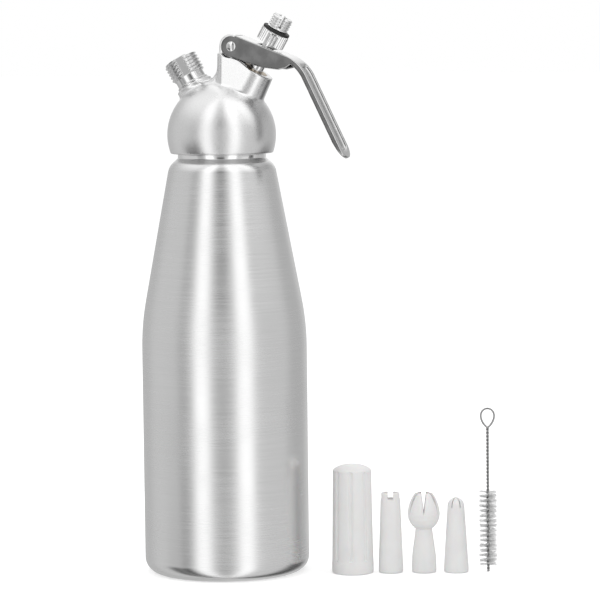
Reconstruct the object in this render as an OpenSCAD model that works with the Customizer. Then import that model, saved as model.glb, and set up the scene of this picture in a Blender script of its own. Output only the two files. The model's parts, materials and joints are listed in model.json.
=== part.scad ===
// Whipped cream dispenser: aluminium bottle, ball-shaped cast head, squeeze lever with a
// push valve, threaded charger stub, and the charger holder, nozzles and brush beside it.
// Frame: origin under the middle of the bottle on the table, +Z up, the lever points along +X.

/* [Bottle] */
// Outer diameter of the bottle
bottle_d = 94.4; // [86:0.2:104]
// Height of the mouth's rim above the table
bottle_h = 258; // [256.5:0.5:259]
// Wall thickness of the bottle
bottle_wall = 2; // [1.4:0.1:2.6]
// Rounding radius of the bottle's lower edge
base_edge_r = 9; // [6:0.5:14]
// Inner diameter of the ring that the bottle stands on
foot_inner_d = 62; // [50:1:70]
// Depth of the recess under the bottle
foot_recess = 1.5; // [0.8:0.1:2.5]
// Height at which the cylinder and the cone would meet without their blend
body_h = 143; // [120:1:160]
// Radius of the blend between the cylinder and the cone
body_blend_r = 150; // [60:5:180]
// Height at which the cone and the shoulder would meet without their rounding
shoulder_h = 233.6; // [232.5:0.1:234]
// Slope of the shoulder against the vertical
shoulder_angle = 50; // [45:1:55]
// Distance from the neck band out to where the cone and the shoulder would meet
shoulder_w = 5.05; // [4.8:0.05:5.3]
// Radius of the shoulder's rounding
shoulder_r = 10; // [5:0.5:11]
// Step from the neck out to the polished neck band
band_step = 1.6; // [1.4:0.05:1.8]
// Height of the neck band's upper edge
band_top = 241; // [240.8:0.1:241.4]

/* [Bottle thread] */
// Diameter of the neck under its thread
neck_d = 47.2; // [46.8:0.1:47.5]
// Wall thickness of the neck
neck_wall = 2.1; // [2:0.05:2.6]
// Height of the bottle's thread over its neck
neck_thread_h = 1.3; // [1.1:0.05:1.4]
// Rise of the bottle's thread in one turn
neck_pitch = 4; // [3.8:0.1:4.4]
// Number of turns of the bottle's thread
neck_turns = 2.6; // [2:0.1:2.8]
// Axial play between a ridge and the ridges next to it
thread_play = 0.4; // [0.3:0.05:0.5]

/* [Head] */
// Wall of the ball's skirt around the neck band
skirt_wall = 5.4; // [5:0.1:6.2]
// Height of the ball's centre above the table
ball_z = 251; // [250.5:0.1:251.3]
// Wall of the ball around the hollow inside it
ball_wall = 9; // [8.7:0.1:9.8]
// Height of the head's lower edge above the table
skirt_z = 240.4; // [240.1:0.1:240.6]
// Radial clearance between the skirt and the neck band
skirt_gap = 0.4; // [0.3:0.05:0.6]
// Lean of the charger stub and of the valve against the vertical
port_tilt = 30; // [29.5:0.1:30.5]
// Width of the block that carries the valve and the post
block_w = 21.6; // [20.6:0.1:22.4]
// Distance from the pivot back to the back of the post
post_depth = 8.3; // [7.4:0.1:8.8]
// Rounding radius of the post's upright edges
post_edge_r = 4; // [2:0.2:5]
// Height of the valve boss's face above the ball
boss_rise = 11.4; // [11:0.1:11.8]
// Taper of the valve boss
boss_draft = 5; // [2:0.5:7]
// Diameter of the pad under the charger stub
pad_d = 21.4; // [20:0.2:23]
// Height of the pad's face above the ball
pad_rise = 1.8; // [1.4:0.1:2.4]
// Width of the ear between the lever's cheeks
ear_w = 12; // [11.4:0.1:12.2]
// Radius of the ear's round end
ear_r = 7.1; // [6.8:0.1:7.6]
// Thickness of the head gasket
head_gasket_t = 2; // [1.6:0.1:2.4]
// Distance by which the head gasket lies inside the crests of the bottle's thread
head_gasket_inset = 0.1; // [0.1:0.05:0.3]
// Distance by which the head gasket clears the bottle's mouth
head_gasket_clear = 0.2; // [0.1:0.05:0.5]

/* [Lever] */
// Distance from the valve's pushed shoulder back to the lever's pivot
pivot_back = 18; // [17.7:0.1:18.3]
// Height of the pivot above the valve's pushed shoulder
pivot_over = 2.8; // [2.6:0.1:3.1]
// Fall of the lever's fork below the horizontal
lever_fall = 21.5; // [21.2:0.1:21.8]
// Swing of the lever when it is squeezed
lever_swing = 10; // [6:1:10]
// Outer width of the lever
lever_w = 16.5; // [16.3:0.1:17]
// Thickness of the lever's sheet
lever_sheet = 1.8; // [1.6:0.1:1.9]
// Height of the fork's outer face above the pivot's axis
fork_rise = 6.76; // [6.7:0.02:7]
// Distance along the fork from the pivot to the knee's corner
knee_reach = 41; // [40:0.5:44]
// Turn of the knee
knee_angle = 42.6; // [38:0.2:46]
// Radius of the knee on its outer face
knee_r = 24; // [18:0.5:28]
// Length of the handle from the knee's corner to its tip
handle_l = 60.5; // [50:0.5:80]
// Depth of the handle's rolled edges
handle_depth = 3.4; // [3:0.1:4.4]
// Radius of the fork's ends around the pivot
fork_end_r = 6.2; // [5.8:0.1:6.4]
// Depth of the dish pressed into the handle's outer face
dish_depth = 0.7; // [0.4:0.1:0.9]
// Width of the dish
dish_w = 8.6; // [6:0.2:10]
// Width of the fork's slot for the valve stem
slot_w = 8.4; // [8:0.1:9]
// Diameter of the pivot barrel
barrel_d = 4.4; // [4:0.1:4.8]
// Diameter of the pivot screw's shank
screw_d = 2.4; // [2:0.1:2.6]
// Diameter of the heads on both ends of the pivot
screw_head_d = 5.9; // [5.6:0.1:6.4]
// Thickness of the heads on both ends of the pivot
screw_head_t = 1; // [0.8:0.1:1.3]
// Width of the screwdriver slot
screw_slot = 0.8; // [0.6:0.05:1]
// Running clearance of the pivot, on the radius
pivot_gap = 0.05; // [0.03:0.01:0.08]

/* [Valve] */
// Diameter of the stem in its guide
stem_d = 8; // [7.8:0.1:8.2]
// Diameter of the stem's thin inner end
stem_tail_d = 6; // [5.6:0.1:6.2]
// Bore of the stem that the cream flows through
stem_bore = 3.6; // [3:0.1:4]
// Diameter of the shoulder that the lever pushes
push_d = 11.4; // [11.2:0.1:11.5]
// Height of the shoulder's pushed face above the valve boss's face
push_rise = 12.2; // [12:0.1:12.2]
// Diameter of the valve seat's opening
seat_d = 8.6; // [8:0.1:9]
// Depth of the valve seat below the valve boss's face
seat_depth = 19.9; // [19.8:0.1:20.2]
// Diameter of the spring's chamber
chamber_d = 12.6; // [12.5:0.1:12.8]
// Wire diameter of the valve spring
spring_wire = 1.1; // [0.9:0.1:1.2]
// Number of curls of the valve spring
spring_turns = 4; // [3:1:5]
// Diameter of the guide bush
guide_d = 14; // [13.6:0.1:14.6]
// Length of the guide bush
guide_l = 4.9; // [4.6:0.1:5.2]
// Running clearance of the stem in its guide, on the radius
stem_gap = 0.05; // [0.03:0.01:0.08]

/* [Tip adapter] */
// Diameter of the knurled collar
collar_d = 16.4; // [15.6:0.1:16.6]
// Length of the knurled collar
collar_l = 8.1; // [7:0.1:9]
// Gap between the pushed shoulder and the collar, where the lever's web lies
collar_lift = 4.3; // [4.2:0.1:4.6]
// Number of ribs on the knurled collar
knurl_count = 32; // [24:1:40]
// Depth of the knurl
knurl_depth = 0.35; // [0.2:0.05:0.5]
// Thickness of the black gasket on the collar
tip_gasket_t = 1.6; // [1.2:0.1:2]
// Outer diameter of the tip's thread
tip_thread_d = 12.2; // [12:0.1:12.4]
// Length of the tip's thread
tip_thread_l = 8; // [7:0.5:9]
// Pitch of the tip's thread
tip_pitch = 1.6; // [1.4:0.1:1.8]
// Outlet bore of the tip
tip_bore = 5.2; // [4.6:0.1:5.6]
// Width of the four slots in the tip
tip_slot = 1.8; // [1.4:0.1:2]

/* [Charger stub] */
// Outer diameter of the stub's thread
stub_thread_d = 20; // [19.8:0.1:20.2]
// Length of the stub's thread
stub_thread_l = 11.2; // [10:0.2:13]
// Pitch of the stub's thread
stub_pitch = 2; // [1.8:0.1:2.2]
// Diameter of the stub's polished neck
stub_neck_d = 17.2; // [16.6:0.1:17.6]
// Length of the stub's polished neck
stub_neck_l = 5; // [4:0.2:6]
// Diameter of the socket for the charger's neck
socket_d = 10; // [9.8:0.1:10.4]
// Depth of that socket
socket_depth = 7; // [6.5:0.1:7.5]
// Width of the vent slots along the thread
vent_w = 4; // [3:0.1:4.4]
// Diameter of the spigot that screws into the head
spigot_d = 12; // [11.6:0.1:12.2]
// Thickness of the washer under the stub
washer_t = 0.8; // [0.6:0.1:1.2]
// Outer diameter of the piercing needle
needle_d = 2.2; // [1.8:0.1:2.4]

/* [Charger holder] */
// Length of the charger holder
holder_l = 62.6; // [60:0.2:72]
// Diameter of the holder's base
holder_d = 23.8; // [23.4:0.1:25.4]
// Diameter under the holder's dome
holder_top_d = 22; // [21.6:0.1:22.6]
// Bore of the holder for the charger's body
holder_bore = 18.2; // [17.8:0.1:18.4]
// Number of flutes around the holder
flute_count = 8; // [6:1:10]
// Depth of the flutes
flute_depth = 1; // [0.8:0.1:1.1]

/* [Nozzles and brush] */
// Diameter of the base of each nozzle
nozzle_base_d = 14; // [13.8:0.1:15]
// Depth of the threaded socket in each nozzle
nozzle_socket = 9; // [8.5:0.1:10]
// Length of the straight nozzle
straight_l = 46; // [41:0.2:54]
// Diameter of the straight nozzle's top
straight_top_d = 11; // [10.4:0.1:12.2]
// Length of the tulip nozzle
tulip_l = 45.8; // [42:0.2:52]
// Largest diameter of the tulip
tulip_d = 18.4; // [17:0.1:20]
// Height of the tulip
tulip_h = 20.4; // [18.4:0.2:22]
// Diameter of the tulip nozzle's neck
tulip_neck_d = 9.4; // [9:0.1:10.2]
// Length of the round nozzle
round_l = 43; // [38:0.2:49]
// Diameter of the round nozzle's top
round_top_d = 9.6; // [9:0.1:11]
// Bore of the nozzles above their socket
nozzle_bore = 6; // [5:0.1:6.4]
// Length of the brush
brush_l = 94.4; // [86:0.2:104]
// Diameter of the brush's twisted wire
brush_wire_d = 2.2; // [1.8:0.1:2.4]
// Diameter over the bristles
bristle_d = 10.4; // [9:0.1:14]
// Length of the bristled stretch
bristle_l = 42.5; // [36:0.5:48]
// Number of filaments through the wire, each with two free ends
bristle_filaments = 165; // [150:1:200]
// Turns of the wire's twist along the bristles
bristle_turns = 7.5; // [6:0.5:9]
// Width of the loop at the brush's end
loop_w = 8.6; // [7.6:0.1:11]
// Distance from the bottle's axis to the first accessory
row_start = 72.5; // [71:0.5:80]
// Distance by which the row of accessories stands nearer than the bottle's axis
row_near = 10; // [0:0.5:20]

/* [Hidden] */
$fn = 96;

// Finishes
aluminium = "silver";
satin = "gainsboro";
steel = "darkgray";
dark_steel = "gray";
rubber = "dimgray";
plastic = "whitesmoke";

// One overrun for every cut that leaves a solid
over = 1;
// Points in a quarter circle of an outline
arc_steps = 12;

// Bottle, derived
bottle_r = bottle_d / 2;
neck_r = neck_d / 2;
mouth_r = neck_r - neck_wall;
thread_r = neck_r + neck_thread_h;
band_r = neck_r + band_step;
rim_edge_r = 0.6;
shoulder_virtual_r = band_r + shoulder_w;
cone_angle = atan((bottle_r - shoulder_virtual_r) / (shoulder_h - body_h));
edge_centre = [bottle_r - base_edge_r, base_edge_r];
blend_centre = [bottle_r - body_blend_r, body_h - body_blend_r * tan(cone_angle / 2)];
shoulder_turn = shoulder_angle - cone_angle;
shoulder_run = shoulder_r * tan(shoulder_turn / 2);
shoulder_centre = [shoulder_virtual_r + shoulder_run * sin(cone_angle) - shoulder_r * cos(cone_angle),
                   shoulder_h - shoulder_run * cos(cone_angle) - shoulder_r * sin(cone_angle)];

// Neck thread: ridges of the bottle and of the head are half a pitch apart
thread_sink = 0.4;
thread_crest_half = 0.6;
thread_root_half = neck_pitch / 2 - thread_play - thread_crest_half;
thread_start = band_top + 1.9;
thread_seg = 24;
thread_fade = 8;
thread_fade_from = 0.2;
head_root_r = thread_r + thread_play;
head_crest_r = neck_r + thread_play + thread_r * (1 - cos(180 / thread_seg));

// Head, derived
skirt_bore_r = band_r + skirt_gap;
ball_r = skirt_bore_r + skirt_wall;
ball_d = 2 * ball_r;
hollow_r = ball_r - ball_wall;
pad_face = ball_r + pad_rise;
boss_face = ball_r + boss_rise;
push_at = boss_face + push_rise;
pivot_x = sin(port_tilt) * push_at - pivot_back;
pivot_rise = cos(port_tilt) * push_at + pivot_over;
pivot_z = ball_z + pivot_rise;
post_back = pivot_x - post_depth;
head_gasket_d = 2 * (thread_r - head_gasket_inset);
head_gasket_bore = 2 * (mouth_r + head_gasket_clear);
gasket_seat_gap = 0.2;
skirt_bore_top = band_top + 1;
boss_r = block_w / 2;
boss_sink = 11;
boss_foot = ball_r - boss_sink;
post_drop = 3.9;
post_top = pivot_z - post_drop;
block_foot = ball_z + boss_foot;
ear_shift = 0.8;
web_gap = 0.45;
cheek_gap = 0.35;
ear_side_gap = 0.1;
cheek_inside = ear_w / 2 + ear_side_gap;
sweep_w = block_w / 2;

// Lever, derived
web_under = fork_rise - lever_sheet;
lever_bore_r = barrel_d / 2 + pivot_gap;
head_lift = 0.1;
screw_reach = lever_w / 2 + head_lift;
knee_run = knee_r * tan(knee_angle / 2);
knee_centre = [knee_reach - knee_run, fork_rise - knee_r];
tip_r = lever_w / 2;
handle_run = handle_l - knee_run;
web_start = 0.5;
slot_inner = 5.6;
slot_outer = 4.2;
dish_end = 4.5;
cheek_shares = [[0.3, 0.8], [0.52, 0.68], [0.622, 0.53], [0.756, 0.33], [0.837, 0.015]];
cheek_foot_share = 0.97;
cheek_meet_share = 0.32;
dish_start_share = 0.6;
// Place along the fork where the stem's axis crosses the web
stem_cross = push_at + lever_sheet;
stem_cross_dx = sin(port_tilt) * stem_cross - pivot_x;
stem_cross_dz = cos(port_tilt) * stem_cross - pivot_rise;
stem_x = stem_cross_dx * cos(lever_fall) - stem_cross_dz * sin(lever_fall);

// Valve, derived
seat_at = boss_face - seat_depth;
stem_r = stem_d / 2;
tail_r = stem_tail_d / 2;
stem_tail_l = 5.5;
stem_foot = seat_at - stem_tail_l;
nut_t = 2;
disc_t = 2.45;
disc_gap = 0.05;
disc_at = seat_at - disc_gap - disc_t;
chamber_at = seat_at + 4.5;
guide_at = boss_face - guide_l;
flange_t = 2.4;
flange_gap = 0.1;
flange_d = chamber_d - 0.8;
flange_at = guide_at - flange_gap - flange_t;
spotface_d = 13;
spring_mean_r = (flange_d - spring_wire) / 2 - 0.25;
spring_gap = 0.1;
push_t = 2.4;
oring_section = 1.5;
oring_at = guide_at + guide_l / 2;
port_d = 2;
port_at = chamber_at + 4;
collar_at = push_at + collar_lift;
collar_top = collar_at + collar_l;
collar_chamfer = 0.8;
adapter_socket = 6;
stem_top = collar_at + adapter_socket;
stem_neck_r = 3.5;
tip_base = collar_top + tip_gasket_t;
tip_top = tip_base + tip_thread_l;
thread_flank_share = 0.26;
tip_thread_h = 0.75;
tip_hub_r = tip_thread_d / 2 - tip_thread_h;
tip_slot_turn = 25;
tip_gasket_d = collar_d - 0.4;

// Stub, derived
spigot_at = hollow_r;
stub_thread_at = pad_face + washer_t + stub_neck_l;
stub_top = stub_thread_at + stub_thread_l;
stub_thread_h = 1.1;
socket_at = stub_top - socket_depth;
stub_cup_d = 8.8;
stub_cup_at = pad_face + 3.2;
stub_duct_d = 3.2;
vent_depth = 1.9;
vent_turn = 16;
pin_base_t = 2;
pin_base_gap = 0.05;
seal_t = 2;
needle_l = 4.6;
sleeve_wall = 1.2;
sleeve_l = 3;

// Accessories, derived
row_turn = 17;
row_steps = [0, 21.8, 40.8, 59.2, 77.5];
holder_ring_h = 6;
holder_dome_h = 3.6;
holder_floor = 4;
holder_thread_l = 12;
flute_share = 0.24;
flute_turn = -4;
holder_dome_shares = [[1, 0], [0.87, 0.42], [0.6, 0.8], [0.3, 0.96]];
holder_hollow_shares = [[0.6, 0.4], [1, 1.6]];
mating_thread_share = 0.8;
holder_fit = 0.15;
nozzle_fit = 0.15;
nozzle_wall = 1.5;
socket_wall = 0.55;
crown_slot_h = 3.4;
crown_slot_w = 3;
straight_slots = 4;
tulip_slots = 6;
round_slots = 6;
fine_slit = 0.5;
petal_slot_share = 0.57;
bulb_shares = [[0.6, 0.02], [0.82, 0.13], [0.96, 0.27], [1, 0.4], [0.97, 0.53], [0.9, 0.67],
               [0.8, 0.79], [0.68, 0.9], [0.52, 1]];
lip_r = 0.8;
bristle_lift = 4;
bristle_w = 0.3;
bristle_core_r = brush_wire_d / 2 + 0.25;
brush_foot = 0;
loop_h = 11.4;
loop_wire_r = 0.65;
loop_steps = 28;
loop_start_share = 0.07;
teardrop_width_share = 0.84;
teardrop_power = 0.6;
loop_step_share = 0.01;
loop_sides = 8;

// Points of an arc from angle a0 to a1
function arc(centre, r, a0, a1, steps = arc_steps) =
    [for (i = [0:steps]) let (a = a0 + (a1 - a0) * i / steps)
        [centre[0] + r * cos(a), centre[1] + r * sin(a)]];

function reversed(points) = [for (i = [len(points) - 1:-1:0]) points[i]];

// Side of the bottle from its lower edge to its shoulder, set in by a wall
function bottle_side(inset) = concat(
    arc(edge_centre, base_edge_r - inset, -90, 0),
    arc(blend_centre, body_blend_r - inset, 0, cone_angle),
    arc(shoulder_centre, shoulder_r - inset, cone_angle, shoulder_angle));

// Height at which the shoulder's slope, set in by a wall, reaches a radius
function shoulder_z(inset, r) =
    let (start = bottle_side(inset)[3 * arc_steps + 2])
    start[1] + (start[0] - r) / tan(shoulder_angle);

// A ridge that winds up a neck: the root side lies at r_root, the crest at r_crest
module helical_ridge(r_root, r_crest, root_half, crest_half, start, turns) {
    count = round(turns * thread_seg);
    ring = [for (i = [0:count])
        let (a = 360 * i / thread_seg, z = start + neck_pitch * i / thread_seg,
             fade = min(1, (i + thread_fade_from) / thread_fade,
                        (count - i + thread_fade_from) / thread_fade),
             r = r_root + (r_crest - r_root) * fade)
        [[r_root, z - root_half, a], [r, z - crest_half, a],
         [r, z + crest_half, a], [r_root, z + root_half, a]]];
    points = [for (section = ring) for (p = section) [p[0] * cos(p[2]), p[0] * sin(p[2]), p[1]]];
    inward = r_crest < r_root;
    sides = [for (i = [0:count - 1]) for (j = [0:3])
        let (a = 4 * i + j, b = 4 * i + (j + 1) % 4)
        each [[a, a + 4, b], [b, a + 4, b + 4]]];
    last = 4 * count;
    caps = [[0, 1, 2], [0, 2, 3], [last, last + 2, last + 1], [last, last + 3, last + 2]];
    faces = concat(sides, caps);
    polyhedron(points, [for (f = faces) inward ? f : [f[0], f[2], f[1]]]);
}

// Thread crests around a core, as rings between two heights
module thread_rings(core_r, crest_r, from, length, pitch) {
    flank = pitch * thread_flank_share;
    rings = floor(length / pitch);
    for (i = [0:rings - 1]) {
        z = from + (i + 1 / 2) * length / rings;
        rotate_extrude()
            polygon([[core_r - flank, z - 2 * flank + flank / 4], [core_r, z - 2 * flank + flank / 4],
                     [crest_r, z - flank / 2], [crest_r, z + flank / 2],
                     [core_r, z + 2 * flank - flank / 4], [core_r - flank, z + 2 * flank - flank / 4]]);
    }
}

// Crests inside a bore that such a thread turns in
module bore_rings(bore_r, crest_r, from, length, pitch) {
    flank = pitch * thread_flank_share / 2;
    rings = floor(length / pitch);
    for (i = [0:rings - 1]) {
        z = from + (i + 1 / 2) * length / rings;
        rotate_extrude()
            polygon([[bore_r + flank, z - 2 * flank], [bore_r, z - 2 * flank], [crest_r, z - flank],
                     [crest_r, z + flank], [bore_r, z + 2 * flank], [bore_r + flank, z + 2 * flank]]);
    }
}

module ring(outer_d, inner_d, from, length) {
    translate([0, 0, from])
        difference() {
            cylinder(d = outer_d, h = length);
            translate([0, 0, -over])
                cylinder(d = inner_d, h = length + 2 * over);
        }
}

module on_valve() {
    translate([0, 0, ball_z])
        rotate([0, port_tilt, 0])
            children();
}

module on_inlet() {
    translate([0, 0, ball_z])
        rotate([0, -port_tilt, 0])
            children();
}

module on_pivot() {
    translate([pivot_x, 0, pivot_z])
        children();
}

module on_lever(swing = 0) {
    on_pivot()
        rotate([0, lever_fall + swing, 0])
            children();
}

// Extrudes an outline of [along, up] points across the lever's or the block's width
module across(width) {
    rotate([90, 0, 0])
        translate([0, 0, -width / 2])
            linear_extrude(height = width)
                children();
}

module bottle() {
    color(aluminium) {
        rotate_extrude()
            polygon(concat(
                [[0, foot_recess], [foot_inner_d / 2 - foot_recess, foot_recess], [foot_inner_d / 2, 0]],
                bottle_side(0),
                [[band_r, shoulder_z(0, band_r)], [band_r, band_top], [neck_r, band_top]],
                arc([neck_r - rim_edge_r, bottle_h - rim_edge_r], rim_edge_r, 0, 90, 3),
                arc([mouth_r + rim_edge_r, bottle_h - rim_edge_r], rim_edge_r, 90, 180, 3),
                [[mouth_r, shoulder_z(bottle_wall, mouth_r)]],
                reversed(bottle_side(bottle_wall)),
                [[foot_inner_d / 2, bottle_wall],
                 [foot_inner_d / 2 - foot_recess, bottle_wall + foot_recess],
                 [0, bottle_wall + foot_recess]]));
        helical_ridge(neck_r - thread_sink, thread_r, thread_root_half + thread_sink / 2,
                      thread_crest_half, thread_start, neck_turns);
    }
}

module head_gasket() {
    color(rubber)
        ring(head_gasket_d, head_gasket_bore, bottle_h, head_gasket_t);
}

// Plan of the block: rounded at the post's back, open towards the valve boss
module block_plan(length) {
    side = boss_r - post_edge_r;
    translate([post_back + post_edge_r, -boss_r])
        square([length - post_edge_r, block_w]);
    translate([post_back, -side])
        square([post_edge_r + over, 2 * side]);
    for (s = [-1, 1])
        translate([post_back + post_edge_r, s * side])
            circle(r = post_edge_r);
}

module block() {
    boss_x = sin(port_tilt) * boss_face;
    boss_top = ball_z + cos(port_tilt) * boss_face;
    intersection() {
        translate([0, 0, block_foot])
            linear_extrude(height = post_top - block_foot + over)
                block_plan(boss_x - post_back);
        across(block_w + 2 * over)
            polygon([[0, block_foot - over], [0, post_top], [pivot_x, post_top],
                     [boss_x, boss_top], [boss_x, block_foot - over]]);
    }
}

module ear() {
    translate([-ear_shift, 0, 0])
        on_pivot()
            rotate([90, 0, 0])
                cylinder(r = ear_r, h = ear_w, center = true);
    translate([pivot_x - ear_shift - ear_r, -ear_w / 2, block_foot])
        cube([ear_r + ear_r / 2 + ear_shift, ear_w, pivot_z - block_foot]);
}

// Space that the lever's cheeks and web sweep beside and above the ear
module lever_sweep() {
    cheeks = [for (p = cheek_line()) p - [0, cheek_gap]];
    for (side = [-1, 1])
        translate([0, side * (cheek_inside + sweep_w / 2), 0]) {
            on_pivot()
                across_pivot(fork_end_r + cheek_gap, sweep_w);
            on_lever(lever_swing)
                across(sweep_w)
                    polygon(concat(cheeks, [[cheeks[len(cheeks) - 1][0], knee_reach],
                                            [0, knee_reach]]));
        }
    for (swing = [0, lever_swing / 2, lever_swing])
        on_lever(swing)
            translate([web_start - web_gap, -ear_w, web_under - web_gap])
                cube([knee_reach, 2 * ear_w, ear_r]);
}

module head_casting() {
    color(satin)
        difference() {
            union() {
                difference() {
                    union() {
                        intersection() {
                            translate([0, 0, ball_z])
                                sphere(r = ball_r);
                            translate([-ball_r, -ball_r, skirt_z])
                                cube([ball_d, ball_d, ball_d]);
                        }
                        on_valve()
                            translate([0, 0, boss_foot])
                                cylinder(r1 = boss_r + (boss_face - boss_foot) * tan(boss_draft),
                                         r2 = boss_r, h = boss_face - boss_foot);
                        on_inlet()
                            translate([0, 0, boss_foot])
                                cylinder(d = pad_d, h = pad_face - boss_foot);
                        block();
                        ear();
                    }
                    translate([0, 0, skirt_z - over])
                        cylinder(r = skirt_bore_r, h = skirt_bore_top - skirt_z + over);
                    translate([0, 0, skirt_z])
                        cylinder(r = head_root_r, h = bottle_h - skirt_z);
                    translate([0, 0, bottle_h - over])
                        cylinder(r = head_gasket_d / 2 + gasket_seat_gap, h = head_gasket_t + over);
                    translate([0, 0, ball_z])
                        sphere(r = hollow_r);
                }
                helical_ridge(head_root_r + thread_sink, head_crest_r, thread_root_half + thread_sink / 2,
                              thread_crest_half, thread_start + neck_pitch / 2, neck_turns);
            }
            lever_sweep();
            on_pivot()
                rotate([90, 0, 0])
                    cylinder(d = barrel_d, h = block_w + 2 * over, center = true);
            on_valve() {
                translate([0, 0, seat_at - 2 * nut_t])
                    cylinder(d = spotface_d, h = 2 * nut_t);
                cylinder(d = seat_d, h = boss_face);
                translate([0, 0, chamber_at])
                    cylinder(d = chamber_d, h = boss_face - chamber_at);
                translate([0, 0, guide_at])
                    cylinder(d = guide_d, h = guide_l + over);
            }
            on_inlet() {
                cylinder(d = spigot_d, h = pad_face + over);
                cylinder(d = spigot_d + 4 * sleeve_wall, h = spigot_at + sleeve_l / 2);
            }
        }
}

module inlet_washer() {
    color(steel)
        on_inlet()
            ring(stub_neck_d + washer_t, spigot_d, pad_face, washer_t);
}

module inlet_stub() {
    color(steel)
        on_inlet()
            difference() {
                union() {
                    translate([0, 0, spigot_at])
                        cylinder(d = spigot_d, h = stub_top - spigot_at);
                    translate([0, 0, pad_face + washer_t])
                        cylinder(d = stub_neck_d, h = stub_top - pad_face - washer_t);
                    thread_rings(stub_thread_d / 2 - stub_thread_h, stub_thread_d / 2, stub_thread_at,
                                 stub_thread_l, stub_pitch);
                    translate([0, 0, stub_thread_at])
                        cylinder(r = stub_thread_d / 2 - stub_thread_h, h = stub_thread_l);
                }
                translate([0, 0, spigot_at - over])
                    cylinder(d = stub_duct_d, h = stub_top - spigot_at + 2 * over);
                translate([0, 0, stub_cup_at])
                    cylinder(d = stub_cup_d, h = stub_top - stub_cup_at);
                translate([0, 0, socket_at])
                    cylinder(d = socket_d, h = socket_depth + over);
                for (side = [0, 180])
                    rotate([0, 0, side + vent_turn - 90])
                        translate([stub_thread_d / 2 - vent_depth, -vent_w / 2, stub_thread_at])
                            cube([vent_depth + over, vent_w, stub_thread_l + over]);
            }
}

module piercing_pin() {
    pin_at = stub_cup_at;
    color(steel)
        on_inlet()
            difference() {
                union() {
                    translate([0, 0, pin_at])
                        cylinder(d = stub_cup_d - 2 * pin_base_gap, h = pin_base_t);
                    translate([0, 0, pin_at + pin_base_t])
                        cylinder(d = needle_d, h = needle_l - needle_d);
                    translate([0, 0, pin_at + pin_base_t + needle_l - needle_d])
                        cylinder(d1 = needle_d, d2 = needle_d / 3, h = needle_d);
                }
                translate([0, 0, pin_at - over])
                    cylinder(d = needle_d / 4, h = pin_base_t + needle_l + 2 * over);
            }
}

module charger_seal() {
    color(rubber)
        on_inlet()
            ring(stub_cup_d - 2 * pin_base_gap, needle_d + 4 * pin_base_gap, stub_cup_at + pin_base_t, seal_t);
}

module check_sleeve() {
    color(rubber)
        on_inlet()
            ring(spigot_d + 2 * sleeve_wall, spigot_d, spigot_at, sleeve_l / 2);
}

module pivot_barrel() {
    color(dark_steel)
        on_pivot()
            rotate([90, 0, 0])
                difference() {
                    union() {
                        cylinder(d = barrel_d, h = 2 * screw_reach, center = true);
                        translate([0, 0, -screw_reach - screw_head_t])
                            cylinder(d = screw_head_d, h = screw_head_t);
                    }
                    translate([0, 0, -screw_reach / 2])
                        cylinder(d = screw_d, h = 2 * screw_reach);
                }
}

module pivot_screw() {
    dome_r = (pow(screw_head_d / 2, 2) + pow(screw_head_t, 2)) / (2 * screw_head_t);
    color(steel)
        on_pivot()
            rotate([90, 0, 0])
                difference() {
                    union() {
                        translate([0, 0, -screw_reach / 2])
                            cylinder(d = screw_d, h = 3 * screw_reach / 2);
                        intersection() {
                            translate([0, 0, screw_reach])
                                cylinder(d = screw_head_d, h = screw_head_t);
                            translate([0, 0, screw_reach + screw_head_t - dome_r])
                                sphere(r = dome_r);
                        }
                    }
                    translate([-screw_slot / 2, -screw_head_d, screw_reach + screw_head_t / 3])
                        cube([screw_slot, 2 * screw_head_d, screw_head_t]);
                }
}

// Outer face of the knee and the handle, set in by a depth, from a share of the knee's turn
function handle_line(inset, from_share, to) =
    let (r = knee_r - inset, turn = 90 - knee_angle, dir = [cos(knee_angle), -sin(knee_angle)])
    concat(arc(knee_centre, r, 90 - knee_angle * from_share, turn),
           [knee_centre + r * [cos(turn), sin(turn)] + to * dir]);

// Lower edge of the cheeks, from just inside the round end below the pivot to the knee
function cheek_line() = concat(
    [[0, -cheek_foot_share * fork_end_r]], [for (s = cheek_shares) [s[0] * knee_reach, -s[1] * fork_rise]]);

// A disc across the lever, around the pivot
module across_pivot(r, width) {
    rotate([90, 0, 0])
        cylinder(r = r, h = width, center = true);
}

// The lever before it is hollowed: the fork with its cheeks, the knee and the handle
module lever_side() {
    across(lever_w)
        polygon(concat([[0, fork_rise]], handle_line(0, 0, handle_run),
                       reversed(handle_line(handle_depth, cheek_meet_share, handle_run)),
                       reversed(cheek_line())));
    across_pivot(fork_end_r, lever_w);
}

// Side outline of the space between the cheeks and under the web
module channel_side() {
    deep = handle_line(knee_r / 2, 0, handle_run + over);
    polygon(concat([[-2 * fork_end_r, web_under]], handle_line(lever_sheet, 0, handle_run + over),
                   [deep[len(deep) - 1], [knee_centre[0], -2 * knee_r], [-2 * fork_end_r, -2 * knee_r]]));
}

// Everything of the lever's width and tip, less an inset from the sides
module lever_bounds(inset) {
    along = [cos(knee_angle), -sin(knee_angle)];
    start = [knee_centre[0] + knee_r * sin(knee_angle), knee_centre[1] + knee_r * cos(knee_angle)];
    tip_run = handle_run - tip_r;
    translate([-2 * fork_end_r, -lever_w / 2 + inset, -2 * knee_reach])
        cube([start[0] + 2 * fork_end_r, lever_w - 2 * inset, 3 * knee_reach]);
    translate([start[0], 0, start[1]])
        rotate([0, knee_angle, 0]) {
            translate([-knee_reach / 2, -lever_w / 2 + inset, -knee_reach / 2])
                cube([tip_run + knee_reach / 2, lever_w - 2 * inset, knee_reach]);
            translate([tip_run, 0, -knee_reach / 2])
                cylinder(r = tip_r - inset, h = knee_reach);
        }
}

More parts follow.
